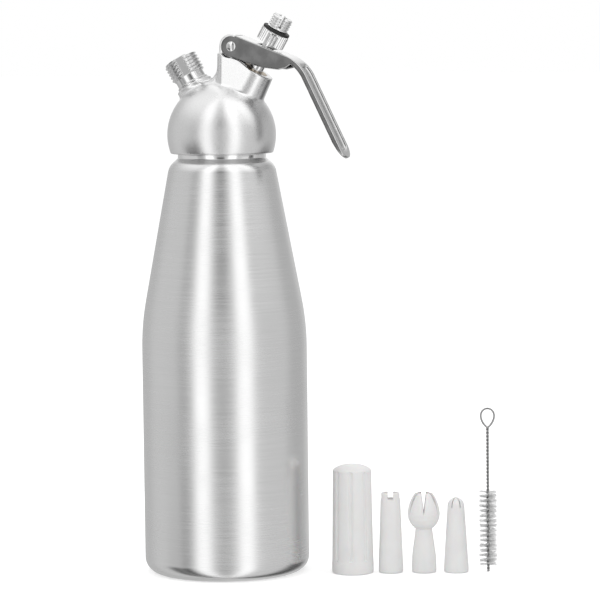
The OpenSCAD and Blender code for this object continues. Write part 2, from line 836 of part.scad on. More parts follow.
module lever() {
    color(dark_steel)
        on_lever()
            difference() {
                intersection() {
                    lever_side();
                    lever_bounds(0);
                }
                intersection() {
                    across(lever_w)
                        channel_side();
                    lever_bounds(lever_sheet);
                }
                translate([-2 * fork_end_r, -lever_w / 2 + lever_sheet, -fork_rise])
                    cube([2 * fork_end_r + web_start, lever_w - 2 * lever_sheet, 3 * fork_rise]);
                translate([stem_x - slot_inner, -slot_w / 2, 0])
                    cube([slot_inner + slot_outer, slot_w, 2 * fork_rise]);
                across(dish_w)
                    polygon(concat(handle_line(-over, dish_start_share, handle_run - dish_end),
                                   reversed(handle_line(dish_depth, dish_start_share,
                                                        handle_run - dish_end))));
                rotate([90, 0, 0])
                    cylinder(r = lever_bore_r, h = 2 * lever_w, center = true);
            }
}

module valve_guide() {
    color(steel)
        on_valve()
            difference() {
                translate([0, 0, guide_at])
                    cylinder(d = guide_d, h = guide_l);
                translate([0, 0, guide_at - over])
                    cylinder(r = stem_r + stem_gap, h = guide_l + 2 * over);
                translate([0, 0, oring_at - oring_section / 2 - stem_gap])
                    cylinder(r = stem_r + oring_section + 2 * stem_gap, h = oring_section + 2 * stem_gap);
            }
}

module guide_oring() {
    color(rubber)
        on_valve()
            translate([0, 0, oring_at])
                rotate_extrude()
                    translate([stem_r + stem_gap + oring_section / 2, 0])
                        circle(d = oring_section);
}

module valve_stem() {
    color(steel)
        on_valve()
            difference() {
                union() {
                    translate([0, 0, stem_foot])
                        cylinder(r = tail_r, h = flange_at - stem_foot + over);
                    translate([0, 0, flange_at])
                        cylinder(d = flange_d, h = flange_t);
                    translate([0, 0, flange_at])
                        cylinder(r = stem_r, h = push_at - flange_at);
                    translate([0, 0, push_at - push_t])
                        cylinder(d = push_d, h = push_t);
                    translate([0, 0, push_at])
                        cylinder(r = stem_neck_r, h = stem_top - push_at);
                }
                translate([0, 0, port_at])
                    cylinder(d = stem_bore, h = stem_top - port_at + over);
                for (turn = [0, 90])
                    rotate([90, 0, turn])
                        translate([0, port_at + port_d / 2, 0])
                            cylinder(d = port_d, h = 2 * stem_d, center = true);
            }
}

// Points of the spring's middle line
function spring_point(i) =
    let (from = chamber_at + spring_gap + spring_wire / 2, to = flange_at - spring_gap - spring_wire / 2,
         a = 45 * i, share = i / (8 * spring_turns))
    [spring_mean_r * cos(a), spring_mean_r * sin(a), from + (to - from) * share];

module valve_spring() {
    count = 8 * spring_turns;
    sides = 6;
    points = [for (i = [0:count])
        let (p = spring_point(i), a = 45 * i)
        for (j = [0:sides - 1])
            let (b = 60 * j, r = spring_wire / 2)
            [p[0] + r * cos(b) * cos(a), p[1] + r * cos(b) * sin(a), p[2] + r * sin(b)]];
    walls = [for (i = [0:count - 1]) for (j = [0:sides - 1])
        let (a = sides * i + j, b = sides * i + (j + 1) % sides)
        each [[a, a + sides, b], [b, a + sides, b + sides]]];
    first_cap = [for (j = [1:sides - 2]) [0, j, j + 1]];
    last_cap = [for (j = [1:sides - 2]) [sides * count, sides * count + j + 1, sides * count + j]];
    color(steel)
        on_valve()
            polyhedron(points, concat(walls, first_cap, last_cap));
    gaps = [for (i = [0:count]) for (k = [i + 6:count]) norm(spring_point(i) - spring_point(k)) - spring_wire];
    echo(least_spring_gap = min(gaps));
}

module valve_disc() {
    color(rubber)
        on_valve()
            ring(push_d, stem_tail_d + 2 * stem_gap, disc_at, disc_t);
}

module valve_nut() {
    color(steel)
        on_valve()
            ring(push_d - 2 * disc_gap, stem_tail_d, disc_at - nut_t, nut_t);
}

module tip_adapter() {
    knurl_r = collar_d / 2;
    color(satin)
        on_valve()
            difference() {
                union() {
                    rotate_extrude()
                        polygon([[stem_neck_r, collar_at], [knurl_r - collar_chamfer, collar_at],
                                 [knurl_r, collar_at + collar_chamfer],
                                 [knurl_r, collar_top - collar_chamfer / 2],
                                 [knurl_r - collar_chamfer / 2, collar_top],
                                 [tip_hub_r, collar_top], [tip_hub_r, tip_top],
                                 [tip_bore / 2, tip_top], [tip_bore / 2, stem_top],
                                 [stem_neck_r, stem_top]]);
                    thread_rings(tip_hub_r, tip_thread_d / 2, tip_base, tip_thread_l, tip_pitch);
                }
                for (i = [0:knurl_count - 1])
                    rotate([0, 0, 360 * i / knurl_count])
                        translate([knurl_r, 0, collar_at - over])
                            rotate([0, 0, 45])
                                translate([-knurl_depth / 2, -knurl_depth / 2, 0])
                                    cube([knurl_depth, knurl_depth, collar_l + 2 * over]
                                         + [knurl_depth, knurl_depth, 0]);
                for (turn = [0, 90])
                    rotate([0, 0, turn + tip_slot_turn])
                        translate([-tip_thread_d, -tip_slot / 2, tip_base + tip_pitch])
                            cube([2 * tip_thread_d, tip_slot, tip_thread_l]);
            }
}

module tip_gasket() {
    color(rubber)
        on_valve()
            ring(tip_gasket_d, 2 * tip_hub_r, collar_top, tip_gasket_t);
}

// Stands an accessory in the row beside the bottle
module in_row(place) {
    rotate([0, 0, row_turn])
        translate([row_start + row_steps[place], -row_near, 0])
            children();
}

module charger_holder() {
    r0 = holder_d / 2;
    r1 = holder_top_d / 2;
    dome_z = holder_l - holder_dome_h;
    bore_r = holder_bore / 2;
    thread_bore_r = stub_thread_d / 2 + holder_fit;
    flute_at = holder_ring_h + 2 * lip_r;
    holder_taper = (r0 - r1) / dome_z;
    middle_r = (r0 + r1) / 2;
    flute_half = middle_r * sin(180 * flute_share / flute_count);
    flute_rise = middle_r * cos(180 * flute_share / flute_count) - middle_r + flute_depth;
    flute_r = (pow(flute_half, 2) + pow(flute_rise, 2)) / (2 * flute_rise);
    color(plastic)
        in_row(0)
            difference() {
                rotate_extrude()
                    polygon([[bore_r, 0], [r0 - lip_r, 0], [r0, lip_r], [r0, holder_ring_h],
                             [r0 - lip_r / 2, holder_ring_h + lip_r],
                             for (s = holder_dome_shares) [s[0] * r1, dome_z + s[1] * holder_dome_h],
                             [0, holder_l], [0, holder_l - holder_floor],
                             for (s = holder_hollow_shares)
                                 [s[0] * bore_r, holder_l - holder_floor - s[1] * holder_dome_h]]);
                difference() {
                    translate([0, 0, -over])
                        cylinder(r = thread_bore_r, h = holder_thread_l + over);
                    bore_rings(thread_bore_r, thread_bore_r - mating_thread_share * stub_thread_h, 0,
                               holder_thread_l, stub_pitch);
                }
                for (i = [0:flute_count - 1])
                    rotate([0, 0, flute_turn + 360 * i / flute_count])
                        translate([r0 - holder_taper * flute_at + flute_r - flute_depth, 0, flute_at])
                            rotate([0, -atan(holder_taper), 0])
                                cylinder(r = flute_r, h = dome_z - flute_at - 2 * lip_r);
            }
}

// Threaded socket in a nozzle's base, with the bore above it
module nozzle_hollow(bore_top) {
    socket_r = tip_thread_d / 2 + nozzle_fit;
    difference() {
        translate([0, 0, -over])
            cylinder(r = socket_r, h = nozzle_socket + over);
        bore_rings(socket_r, socket_r - mating_thread_share * tip_thread_h, tip_pitch,
                   nozzle_socket - 2 * tip_pitch, tip_pitch);
    }
    cylinder(d = nozzle_bore, h = bore_top + over);
}

module straight_nozzle() {
    base_r = nozzle_base_d / 2;
    top_r = straight_top_d / 2;
    top_bore_r = top_r - nozzle_wall;
    color(plastic)
        in_row(1)
            difference() {
                rotate_extrude()
                    polygon([[0, 0], [base_r - lip_r, 0], [base_r, lip_r], [base_r, 4 * lip_r],
                             [top_r, straight_l - 2 * lip_r], [top_r - lip_r, straight_l],
                             [0, straight_l]]);
                nozzle_hollow(straight_l);
                translate([0, 0, straight_l - 2 * crown_slot_h])
                    cylinder(r = top_bore_r, h = 2 * crown_slot_h + over);
                for (i = [0:straight_slots / 2 - 1])
                    rotate([0, 0, 360 * i / straight_slots])
                        translate([-crown_slot_w / 2, -base_r, straight_l - crown_slot_h])
                            cube([crown_slot_w, nozzle_base_d, crown_slot_h + over]);
            }
}

module tulip_nozzle() {
    base_r = nozzle_base_d / 2;
    neck_r_here = tulip_neck_d / 2;
    waist_r = tip_thread_d / 2 + nozzle_fit + socket_wall;
    bulb_r = tulip_d / 2;
    bulb_z = tulip_l - tulip_h;
    color(plastic)
        in_row(2)
            difference() {
                rotate_extrude()
                    polygon(concat([[0, 0], [base_r - lip_r, 0], [base_r, lip_r], [base_r, 4 * lip_r],
                                    [waist_r, nozzle_socket + lip_r], [neck_r_here, bulb_z]],
                                   [for (s = bulb_shares) [s[0] * bulb_r, bulb_z + s[1] * tulip_h]],
                                   [[0, tulip_l]]));
                nozzle_hollow(bulb_z);
                rotate_extrude()
                    polygon(concat([[0, bulb_z]],
                                   [for (s = bulb_shares) [s[0] * bulb_r - nozzle_wall,
                                                           bulb_z + lip_r + s[1] * (tulip_h - lip_r)]],
                                   [[bulb_shares[len(bulb_shares) - 1][0] * bulb_r - nozzle_wall,
                                     tulip_l + over], [0, tulip_l + over]]));
                for (i = [0:tulip_slots / 2 - 1])
                    rotate([0, 0, 360 * i / tulip_slots])
                        rotate([90, 0, 0])
                            translate([0, 0, -tulip_d])
                                linear_extrude(height = 2 * tulip_d)
                                    polygon([[0, tulip_l - petal_slot_share * tulip_h],
                                             [crown_slot_w / 2, tulip_l + over],
                                             [-crown_slot_w / 2, tulip_l + over]]);
            }
}

module round_nozzle() {
    base_r = nozzle_base_d / 2;
    top_r = round_top_d / 2;
    color(plastic)
        in_row(3)
            difference() {
                rotate_extrude()
                    polygon(concat([[0, 0], [base_r - lip_r, 0], [base_r, lip_r], [base_r, 4 * lip_r]],
                                   arc([0, round_l - top_r], top_r, 0, 90)));
                nozzle_hollow(round_l - 2 * nozzle_wall - nozzle_bore / 2);
                translate([0, 0, round_l - nozzle_wall - nozzle_bore / 2])
                    sphere(d = nozzle_bore);
                for (i = [0:round_slots / 2 - 1])
                    rotate([0, 0, 360 * i / round_slots])
                        translate([-fine_slit / 2, -base_r, round_l - top_r - lip_r])
                            cube([fine_slit, nozzle_base_d, top_r + lip_r + over]);
            }
}

// Middle line of the brush's loop: a teardrop that leaves the stem and returns to it
function loop_point(share) =
    let (a = 360 * share, half_w = (loop_w / 2 - loop_wire_r) / teardrop_width_share)
    [half_w * sin(a) * pow(sin(a / 2), teardrop_power), (loop_h - loop_wire_r) * (1 - cos(a)) / 2];

module brush_wire() {
    base = brush_l - loop_h;
    points = [for (i = [0:loop_steps])
        let (share = loop_start_share + (1 - 2 * loop_start_share) * i / loop_steps,
             p = loop_point(share),
             q = loop_point(share + loop_step_share) - loop_point(share - loop_step_share),
             n = [q[1], -q[0]] / norm(q))
        for (j = [0:loop_sides - 1])
            let (b = 360 * j / loop_sides)
            [p[0] + loop_wire_r * cos(b) * n[0], loop_wire_r * sin(b),
             base + p[1] + loop_wire_r * cos(b) * n[1]]];
    last = loop_steps;
    walls = [for (i = [0:last - 1]) for (j = [0:loop_sides - 1])
        let (a = loop_sides * i + j, b = loop_sides * i + (j + 1) % loop_sides)
        each [[a, a + loop_sides, b], [b, a + loop_sides, b + loop_sides]]];
    first_cap = [for (j = [1:loop_sides - 2]) [0, j, j + 1]];
    last_cap = [for (j = [1:loop_sides - 2]) [loop_sides * last, loop_sides * last + j + 1,
                                              loop_sides * last + j]];
    color(dark_steel)
        in_row(4) {
            translate([0, 0, brush_foot])
                cylinder(d = brush_wire_d, h = base + loop_wire_r - brush_foot);
            translate([0, 0, base + loop_wire_r])
                sphere(d = brush_wire_d);
            polyhedron(points, concat(walls, first_cap, last_cap));
        }
}

// Filaments through the twisted wire, each a little higher and further round than the last
module brush_bristles() {
    color(plastic)
        in_row(4)
            difference() {
                union() {
                    translate([0, 0, bristle_lift])
                        cylinder(r = bristle_core_r, h = bristle_l);
                    for (i = [0:bristle_filaments - 1])
                        translate([0, 0, bristle_lift + bristle_l * (i + 1) / (bristle_filaments + 1)])
                            rotate([0, 0, 360 * bristle_turns * i / bristle_filaments])
                                rotate([0, 90, 0])
                                    cylinder(d = bristle_w, h = bristle_d, center = true, $fn = 3);
                }
                translate([0, 0, bristle_lift - over])
                    cylinder(d = brush_wire_d, h = bristle_l + 2 * over);
            }
}

bottle();
head_gasket();
head_casting();
inlet_stub();
inlet_washer();
piercing_pin();
charger_seal();
check_sleeve();
pivot_barrel();
pivot_screw();
lever();
valve_guide();
guide_oring();
valve_stem();
valve_spring();
valve_disc();
valve_nut();
tip_adapter();
tip_gasket();
charger_holder();
straight_nozzle();
tulip_nozzle();
round_nozzle();
brush_wire();
brush_bristles();
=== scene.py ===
"""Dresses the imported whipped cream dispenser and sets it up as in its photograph.

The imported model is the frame: every piece made here rides on one of its bodies and stands for the
plain solid of the same place. Shapes are worked out in millimetres, as signed distances or as
outlines turned about an axis, and are put into the scene in metres.
"""

from __future__ import annotations

import json
import logging
import math
from dataclasses import dataclass
from enum import Enum
from itertools import product
from typing import Callable, Sequence

import bpy
import numpy as np
from mathutils import Matrix, Vector

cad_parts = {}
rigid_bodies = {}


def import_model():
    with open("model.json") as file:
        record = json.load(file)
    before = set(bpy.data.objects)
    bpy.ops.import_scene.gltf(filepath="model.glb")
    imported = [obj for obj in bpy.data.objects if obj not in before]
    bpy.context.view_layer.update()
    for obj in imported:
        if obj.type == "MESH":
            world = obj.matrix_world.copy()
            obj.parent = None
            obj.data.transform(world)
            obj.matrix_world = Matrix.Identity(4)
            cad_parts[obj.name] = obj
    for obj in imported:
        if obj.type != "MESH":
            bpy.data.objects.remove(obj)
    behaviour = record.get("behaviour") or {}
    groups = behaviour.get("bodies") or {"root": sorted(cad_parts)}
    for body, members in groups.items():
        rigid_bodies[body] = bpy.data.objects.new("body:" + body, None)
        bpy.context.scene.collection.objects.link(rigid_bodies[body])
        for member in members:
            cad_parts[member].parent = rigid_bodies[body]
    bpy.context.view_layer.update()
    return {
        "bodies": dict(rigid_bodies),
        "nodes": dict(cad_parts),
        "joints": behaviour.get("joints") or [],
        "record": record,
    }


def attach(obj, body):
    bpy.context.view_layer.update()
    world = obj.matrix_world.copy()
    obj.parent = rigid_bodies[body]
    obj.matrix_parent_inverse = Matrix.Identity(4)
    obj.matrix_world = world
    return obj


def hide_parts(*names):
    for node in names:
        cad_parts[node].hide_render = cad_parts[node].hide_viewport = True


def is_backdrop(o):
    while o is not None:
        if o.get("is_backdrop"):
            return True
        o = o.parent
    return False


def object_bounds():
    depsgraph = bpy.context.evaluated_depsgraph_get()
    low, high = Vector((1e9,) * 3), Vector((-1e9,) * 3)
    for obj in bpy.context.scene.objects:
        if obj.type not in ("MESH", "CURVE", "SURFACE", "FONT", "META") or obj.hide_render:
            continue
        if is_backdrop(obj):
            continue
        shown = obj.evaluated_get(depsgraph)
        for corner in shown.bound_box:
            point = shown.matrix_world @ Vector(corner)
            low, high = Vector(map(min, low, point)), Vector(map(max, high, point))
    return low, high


LOG = logging.getLogger("dispenser")

MM = 0.001
TINY = 1e-9

# The photograph looks from the -Y side, turned this many degrees towards +X.
PHOTO_TURN = 19.0

# A surface is meshed on a grid with a margin in cells, then drawn onto the field in a few steps.
GRID_MARGIN = 1.5
DRAW_IN_STEPS = 3
SLOPE_PARTS = 20.0
LEAST_SLOPE = 0.05

# Threads have this share of flat on root and crest, and distances eased for their steep flanks.
THREAD_FLAT = 0.1
THREAD_EASE = 0.7

# Detail of the noise in a smudge, and the stretch of it that fades in.
SMUDGE_DETAIL = 3.0
SMUDGE_SPREAD = (0.35, 0.7)

# Any direction that no tube starts along.
TUBE_START = (0.31, 0.67, 0.52)

Array = np.ndarray
Field = Callable[[Array], Array]
Profile = list[tuple[float, float]]
Face = tuple[int, ...]
Triple = tuple[float, float, float]
Colour = tuple[float, float, float, float]


class Body(Enum):
    """The moving bodies that pieces ride on."""

    BOTTLE = "bottle"
    HEAD = "head"
    LEVER = "lever"
    VALVE = "valve"
    HOLDER = "charger_holder"
    STRAIGHT = "straight_nozzle"
    TULIP = "tulip_nozzle"
    ROUND = "round_nozzle"
    BRUSH = "brush"


def joined(a: Array, b: Array, blend: float = 0.0) -> Array:
    """Joins two distances.

    Args:
        a: Distance to the first shape.
        b: Distance to the second shape.
        blend: Width of the fillet between them in mm.

    Returns:
        Distance to both shapes together.
    """
    if blend <= 0.0:
        return np.minimum(a, b)
    mix = np.clip(blend - np.abs(a - b), 0.0, None) / blend
    return np.minimum(a, b) - mix * mix * blend / 4.0


def shared(a: Array, b: Array, blend: float = 0.0) -> Array:
    """Keeps what two shapes share, with edges rounded by blend."""
    return -joined(-a, -b, blend)


def carved(a: Array, b: Array, blend: float = 0.0) -> Array:
    """Takes shape b out of shape a, with edges rounded by blend."""
    return shared(a, -b, blend)


def slab(side: Array, across: Array, edge: float) -> Array:
    """Draws an outline out to a width and rounds its edges.

    Args:
        side: Distance to the outline in its own plane.
        across: Distance beyond the half width.
        edge: Radius of the rounded edges.

    Returns:
        Distance to the solid.
    """
    u, w = side + edge, across + edge
    outside = np.hypot(np.maximum(u, 0.0), np.maximum(w, 0.0))
    return np.minimum(np.maximum(u, w), 0.0) + outside - edge


def between(value: Array, low: float, high: float) -> Array:
    """Distance beyond the stretch from low to high."""
    return np.abs(value - (low + high) / 2.0) - (high - low) / 2.0


def rods(off: Array, along: Array, rows: Sequence[Sequence[float]]) -> Array:
    """Joins round rods on one axis.

    Args:
        off: Distance from the axis.
        along: Place along it.
        rows: Radius, start, end and edge radius of each rod.

    Returns:
        Distance to the rods together.
    """
    body = np.full(off.shape, np.inf)
    for radius, low, high, edge in rows:
        body = np.minimum(body, slab(off - radius, between(along, low, high), edge))
    return body


def outline(points: Sequence[Sequence[float]]) -> Callable[[Array, Array], Array]:
    """Makes the signed distance to a closed outline.

    Args:
        points: Corners in order.

    Returns:
        A function of two plane coordinates.
    """
    corners = np.array(points, float)
    ends = np.roll(corners, -1, axis=0)

    def distance(u: Array, v: Array) -> Array:
        """Works out the signed distance.

        Args:
            u: First plane coordinate of the points.
            v: Second plane coordinate of the points.

        Returns:
            Distance to the outline, negative inside it.
        """
        nearest = np.full(u.shape, np.inf)
        inside = np.zeros(u.shape, bool)
        for (ax, ay), (bx, by) in zip(corners, ends):
            ex, ey = bx - ax, by - ay
            wx, wy = u - ax, v - ay
            along = np.clip((wx * ex + wy * ey) / (ex * ex + ey * ey), 0.0, 1.0)
            nearest = np.minimum(nearest, (wx - ex * along) ** 2 + (wy - ey * along) ** 2)
            if ay != by:
                inside ^= ((ay > v) != (by > v)) & (u < ex * wy / ey + ax)
        return np.where(inside, -1.0, 1.0) * np.sqrt(nearest)

    return distance


def turned(profile: Profile) -> Callable[[Array, Array], Array]:
    """Makes the distance to a turned solid from (radius, height) points that start and end on the axis."""
    mirrored = [(-r, z) for r, z in reversed(profile) if r > 0.0]
    return outline([*profile, *mirrored])


def arc(centre: Sequence[float], radius: float, start: float, end: float, steps: int) -> Profile:
    """Points of an arc in so many steps, from one angle in degrees to another."""
    angles = np.radians(np.linspace(start, end, steps + 1))
    return [(centre[0] + radius * math.cos(a), centre[1] + radius * math.sin(a)) for a in angles]


def rounded_foot(radius: float) -> Profile:
    """Start of the outline of a piece that stands on its own rounded edge."""
    return [(0.0, 0.0), (radius - 0.8, 0.0), (radius - 0.23, 0.23), (radius, 0.8)]


def tooth(phase: Array, flat: float) -> Array:
    """A thread's section over one pitch: 0 in the root, 1 on the crest."""
    wave = 1.0 - 2.0 * np.abs(phase - np.floor(phase) - 0.5)
    return np.clip((wave - flat) / (1.0 - 2.0 * flat), 0.0, 1.0)


def thread(off: Array, angle: Array, along: Array, root: float, crest: float, pitch: float) -> Array:
    """Distance to a side with a helical thread, from the radii of its root and crest and its pitch."""
    wave = tooth(along / pitch - angle / math.tau, THREAD_FLAT)
    return (off - root - (crest - root) * wave) * THREAD_EASE


def slope(body: Field, points: Array, step: float) -> tuple[Array, Array]:
    """Finds the value and the gradient of a distance field.

    Args:
        body: The distance field.
        points: Where to look.
        step: How far apart the values are that give the gradient.

    Returns:
        Value and gradient at each point.
    """
    here = body(points)
    grade = np.empty_like(points)
    for axis in range(3):
        moved = points.copy()
        moved[:, axis] += step
        grade[:, axis] = (body(moved) - here) / step
    return here, grade


@dataclass
class Skin:
    """The surface of a distance field as points, quads and normals."""

    points: Array
    quads: Array
    normals: Array

    @classmethod
    def of(cls, body: Field, low: Sequence[float], high: Sequence[float], cell: float) -> "Skin":
        """Meshes the field's surface, one point for each grid cell that it crosses.

        Args:
            body: The distance field in mm.
            low: Lowest corner of the box that holds the surface.
            high: Highest corner of that box.
            cell: Size of a grid cell in mm.

        Returns:
            The surface, with its points moved onto the field's zero.
        """
        start, end = GRID_MARGIN * cell, (GRID_MARGIN + 1.0) * cell
        axes = [np.arange(lo - start, hi + end, cell) for lo, hi in zip(low, high)]
        shape = tuple(len(a) for a in axes)
        yy, zz = (g.ravel() for g in np.meshgrid(axes[1], axes[2], indexing="ij"))
        value = np.empty(shape)
        for i, x in enumerate(axes[0]):
            value[i] = body(np.stack([np.full(yy.size, x), yy, zz], 1)).reshape(shape[1:])
        inside = value < 0.0
        cells = tuple(n - 1 for n in shape)
        count = np.zeros(cells, int)
        for corner in product((0, 1), repeat=3):
            count += inside[tuple(slice(c, c + n) for c, n in zip(corner, cells))]
        mixed = (count > 0) & (count < 8)
        where = np.argwhere(mixed)
        index = np.full(cells, -1)
        index[mixed] = np.arange(len(where))
        total, hits = np.zeros((len(where), 3)), np.zeros(len(where))
        for axis in range(3):
            unit = np.eye(3, dtype=int)[axis]
            for pair in product((0, 1), repeat=2):
                foot = where + np.insert(np.array(pair), axis, 0)
                a, b = value[tuple(foot.T)], value[tuple((foot + unit).T)]
                crossed = (a < 0.0) != (b < 0.0)
                share = (a[crossed] / (a[crossed] - b[crossed]))[:, None]
                total[crossed] += foot[crossed] + share * unit
                hits[crossed] += 1
        points = np.array([a[0] for a in axes]) + total / hits[:, None] * cell
        for _ in range(DRAW_IN_STEPS):
            here, grade = slope(body, points, cell / SLOPE_PARTS)
            move = -here[:, None] * grade / np.maximum((grade**2).sum(1), LEAST_SLOPE)[:, None]
            length = np.maximum(np.linalg.norm(move, axis=1), TINY)
            points += move * np.minimum(1.0, cell / 2.0 / length)[:, None]
        normals = slope(body, points, cell / SLOPE_PARTS)[1]
        normals /= np.maximum(np.linalg.norm(normals, axis=1), TINY)[:, None]
        return cls(points, cls._quads(inside, index), normals)

    @staticmethod
    def _quads(inside: Array, index: Array) -> Array:
        """Joins the points of the four cells around each crossed grid edge, facing outwards.

        Args:
            inside: Which grid corners lie inside the solid.
            index: Number of each crossed cell's point.

        Returns:
            The faces as point numbers.
        """
        found = []
        for axis in range(3):
            b, c = (axis + 1) % 3, (axis + 2) % 3
            change = np.diff(inside.astype(np.int8), axis=axis) != 0
            edges = np.argwhere(change)
            edges = edges[(edges[:, b] > 0) & (edges[:, c] > 0)]
            edges = edges[(edges[:, b] < index.shape[b]) & (edges[:, c] < index.shape[c])]
            ub, uc = np.eye(3, dtype=int)[b], np.eye(3, dtype=int)[c]
            shifts = (0 * ub, ub, ub + uc, uc)
            quad = np.stack([index[tuple((edges - shift).T)] for shift in shifts], 1)
            outward = inside[tuple(edges.T)]
            quad[~outward] = quad[~outward][:, ::-1]
            found.append(quad)
        return np.concatenate(found)


def new_object(name: str, points: Array, faces: Sequence[Sequence[int]]) -> bpy.types.Object:
    """Makes a smooth mesh object from points in mm.

    Args:
        name: Name of the piece.
        points: Its points in mm.
        faces: Its faces as point numbers.

    Returns:
        The linked object, in metres.
    """
    mesh = bpy.data.meshes.new(name)
    mesh.from_pydata((np.asarray(points) * MM).tolist(), [], [list(map(int, f)) for f in faces])
    mesh.validate()
    mesh.shade_smooth()
    obj = bpy.data.objects.new(name, mesh)
    bpy.context.scene.collection.objects.link(obj)
    return obj


def skinned(name: str, skin: Skin, place: Matrix) -> bpy.types.Object:
    """Makes an object from a skin, with the field's own normals.

    Args:
        name: Name of the piece.
        skin: Its surface, in its own frame.
        place: Where that frame stands, in mm.

    Returns:
        The linked object, in metres.
    """
    turn = np.array(place.to_3x3())
    points = skin.points @ turn.T + np.array(place.translation)
    obj = new_object(name, points, skin.quads)
    if len(obj.data.vertices) == len(skin.normals):
        obj.data.normals_split_custom_set_from_vertices((skin.normals @ turn.T).tolist())
    return obj


def crease(obj: bpy.types.Object, degrees: float) -> None:
    """Marks edges sharper than an angle, so that flat faces beside them stay flat.

    Args:
        obj: The piece.
        degrees: Angle between two faces from which their edge is sharp.
    """
    mesh = obj.data
    normals = np.empty(len(mesh.polygons) * 3, np.float32)
    mesh.polygons.foreach_get("normal", normals)
    normals = normals.reshape(-1, 3)
    beside: dict[tuple[int, int], list[int]] = {}
    for face in mesh.polygons:
        for key in face.edge_keys:
            beside.setdefault(key, []).append(face.index)
    limit = math.cos(math.radians(degrees))
    for edge in mesh.edges:
        pair = beside.get(edge.key, [])
        if len(pair) == 2 and float(normals[pair[0]] @ normals[pair[1]]) < limit:
            edge.use_edge_sharp = True


def lathe(
    name: str, profile: Profile, segments: int, swell: Callable[[Array, Array, Array], Array]
) -> bpy.types.Object:
    """Turns an outline about the Z axis.

    Args:
        name: Name of the piece.
        profile: (radius, height) points that start and end on the axis.
        segments: Number of facets round the axis.
        swell: Gives the radius from radius, height and angle, for a thread.

    Returns:
        The closed object.
    """
    rows = np.array(profile[1:-1])
    angle = np.linspace(0.0, math.tau, segments, endpoint=False)
    height = np.repeat(rows[:, 1:], segments, 1)
    around = np.repeat(angle[None, :], len(rows), 0)
    radius = swell(np.repeat(rows[:, :1], segments, 1), height, around)
    points = np.stack([radius * np.cos(around), radius * np.sin(around), height], -1).reshape(-1, 3)
    count = len(points)
    points = np.concatenate([points, [[0.0, 0.0, profile[0][1]], [0.0, 0.0, profile[-1][1]]]])
    last = count - segments
    faces: list[Face] = []
    for j in range(segments):
        k = (j + 1) % segments
        faces.extend((a + j, a + k, a + segments + k, a + segments + j) for a in range(0, last, segments))
        faces.extend([(count, k, j), (count + 1, last + j, last + k)])
    return new_object(name, points, faces)


def tube(path: Array, radius: float, sides: int) -> tuple[Array, list[Face]]:
    """Draws a round section along a path.

    Args:
        path: Points of the middle line in mm.
        radius: Radius of the section.
        sides: Facets of the section.

    Returns:
        Points and faces of the closed tube.
    """
    ahead = np.gradient(path, axis=0)
    ahead /= np.linalg.norm(ahead, axis=1)[:, None]
    angle = np.linspace(0.0, math.tau, sides, endpoint=False)[:, None]
    side = np.cross(ahead[0], TUBE_START)
    rings = []
    for point, direction in zip(path, ahead):
        side = side - direction * (side @ direction)
        side /= np.linalg.norm(side)
        other = np.cross(direction, side)
        rings.append(point + radius * (np.cos(angle) * side + np.sin(angle) * other))
    last = (len(path) - 1) * sides
    faces: list[Face] = []
    for a in range(0, last, sides):
        for j in range(sides):
            k = (j + 1) % sides
            faces.append((a + j, a + k, a + sides + k, a + sides + j))
    faces.append(tuple(reversed(range(sides))))
    faces.append(tuple(range(last, last + sides)))
    return np.concatenate(rings), faces


def bundle(name: str, tubes: Sequence[tuple[Array, list[Face]]]) -> bpy.types.Object:
    """Makes one object of several tubes.

    Args:
        name: Name of the piece.
        tubes: Points and faces of each tube.

    Returns:
        The linked object, in metres.
    """
    points, faces, base = [], [], 0
    for some, quads in tubes:
        points.append(some)
        faces.extend(tuple(base + i for i in quad) for quad in quads)
        base += len(some)
    return new_object(name, np.concatenate(points), faces)


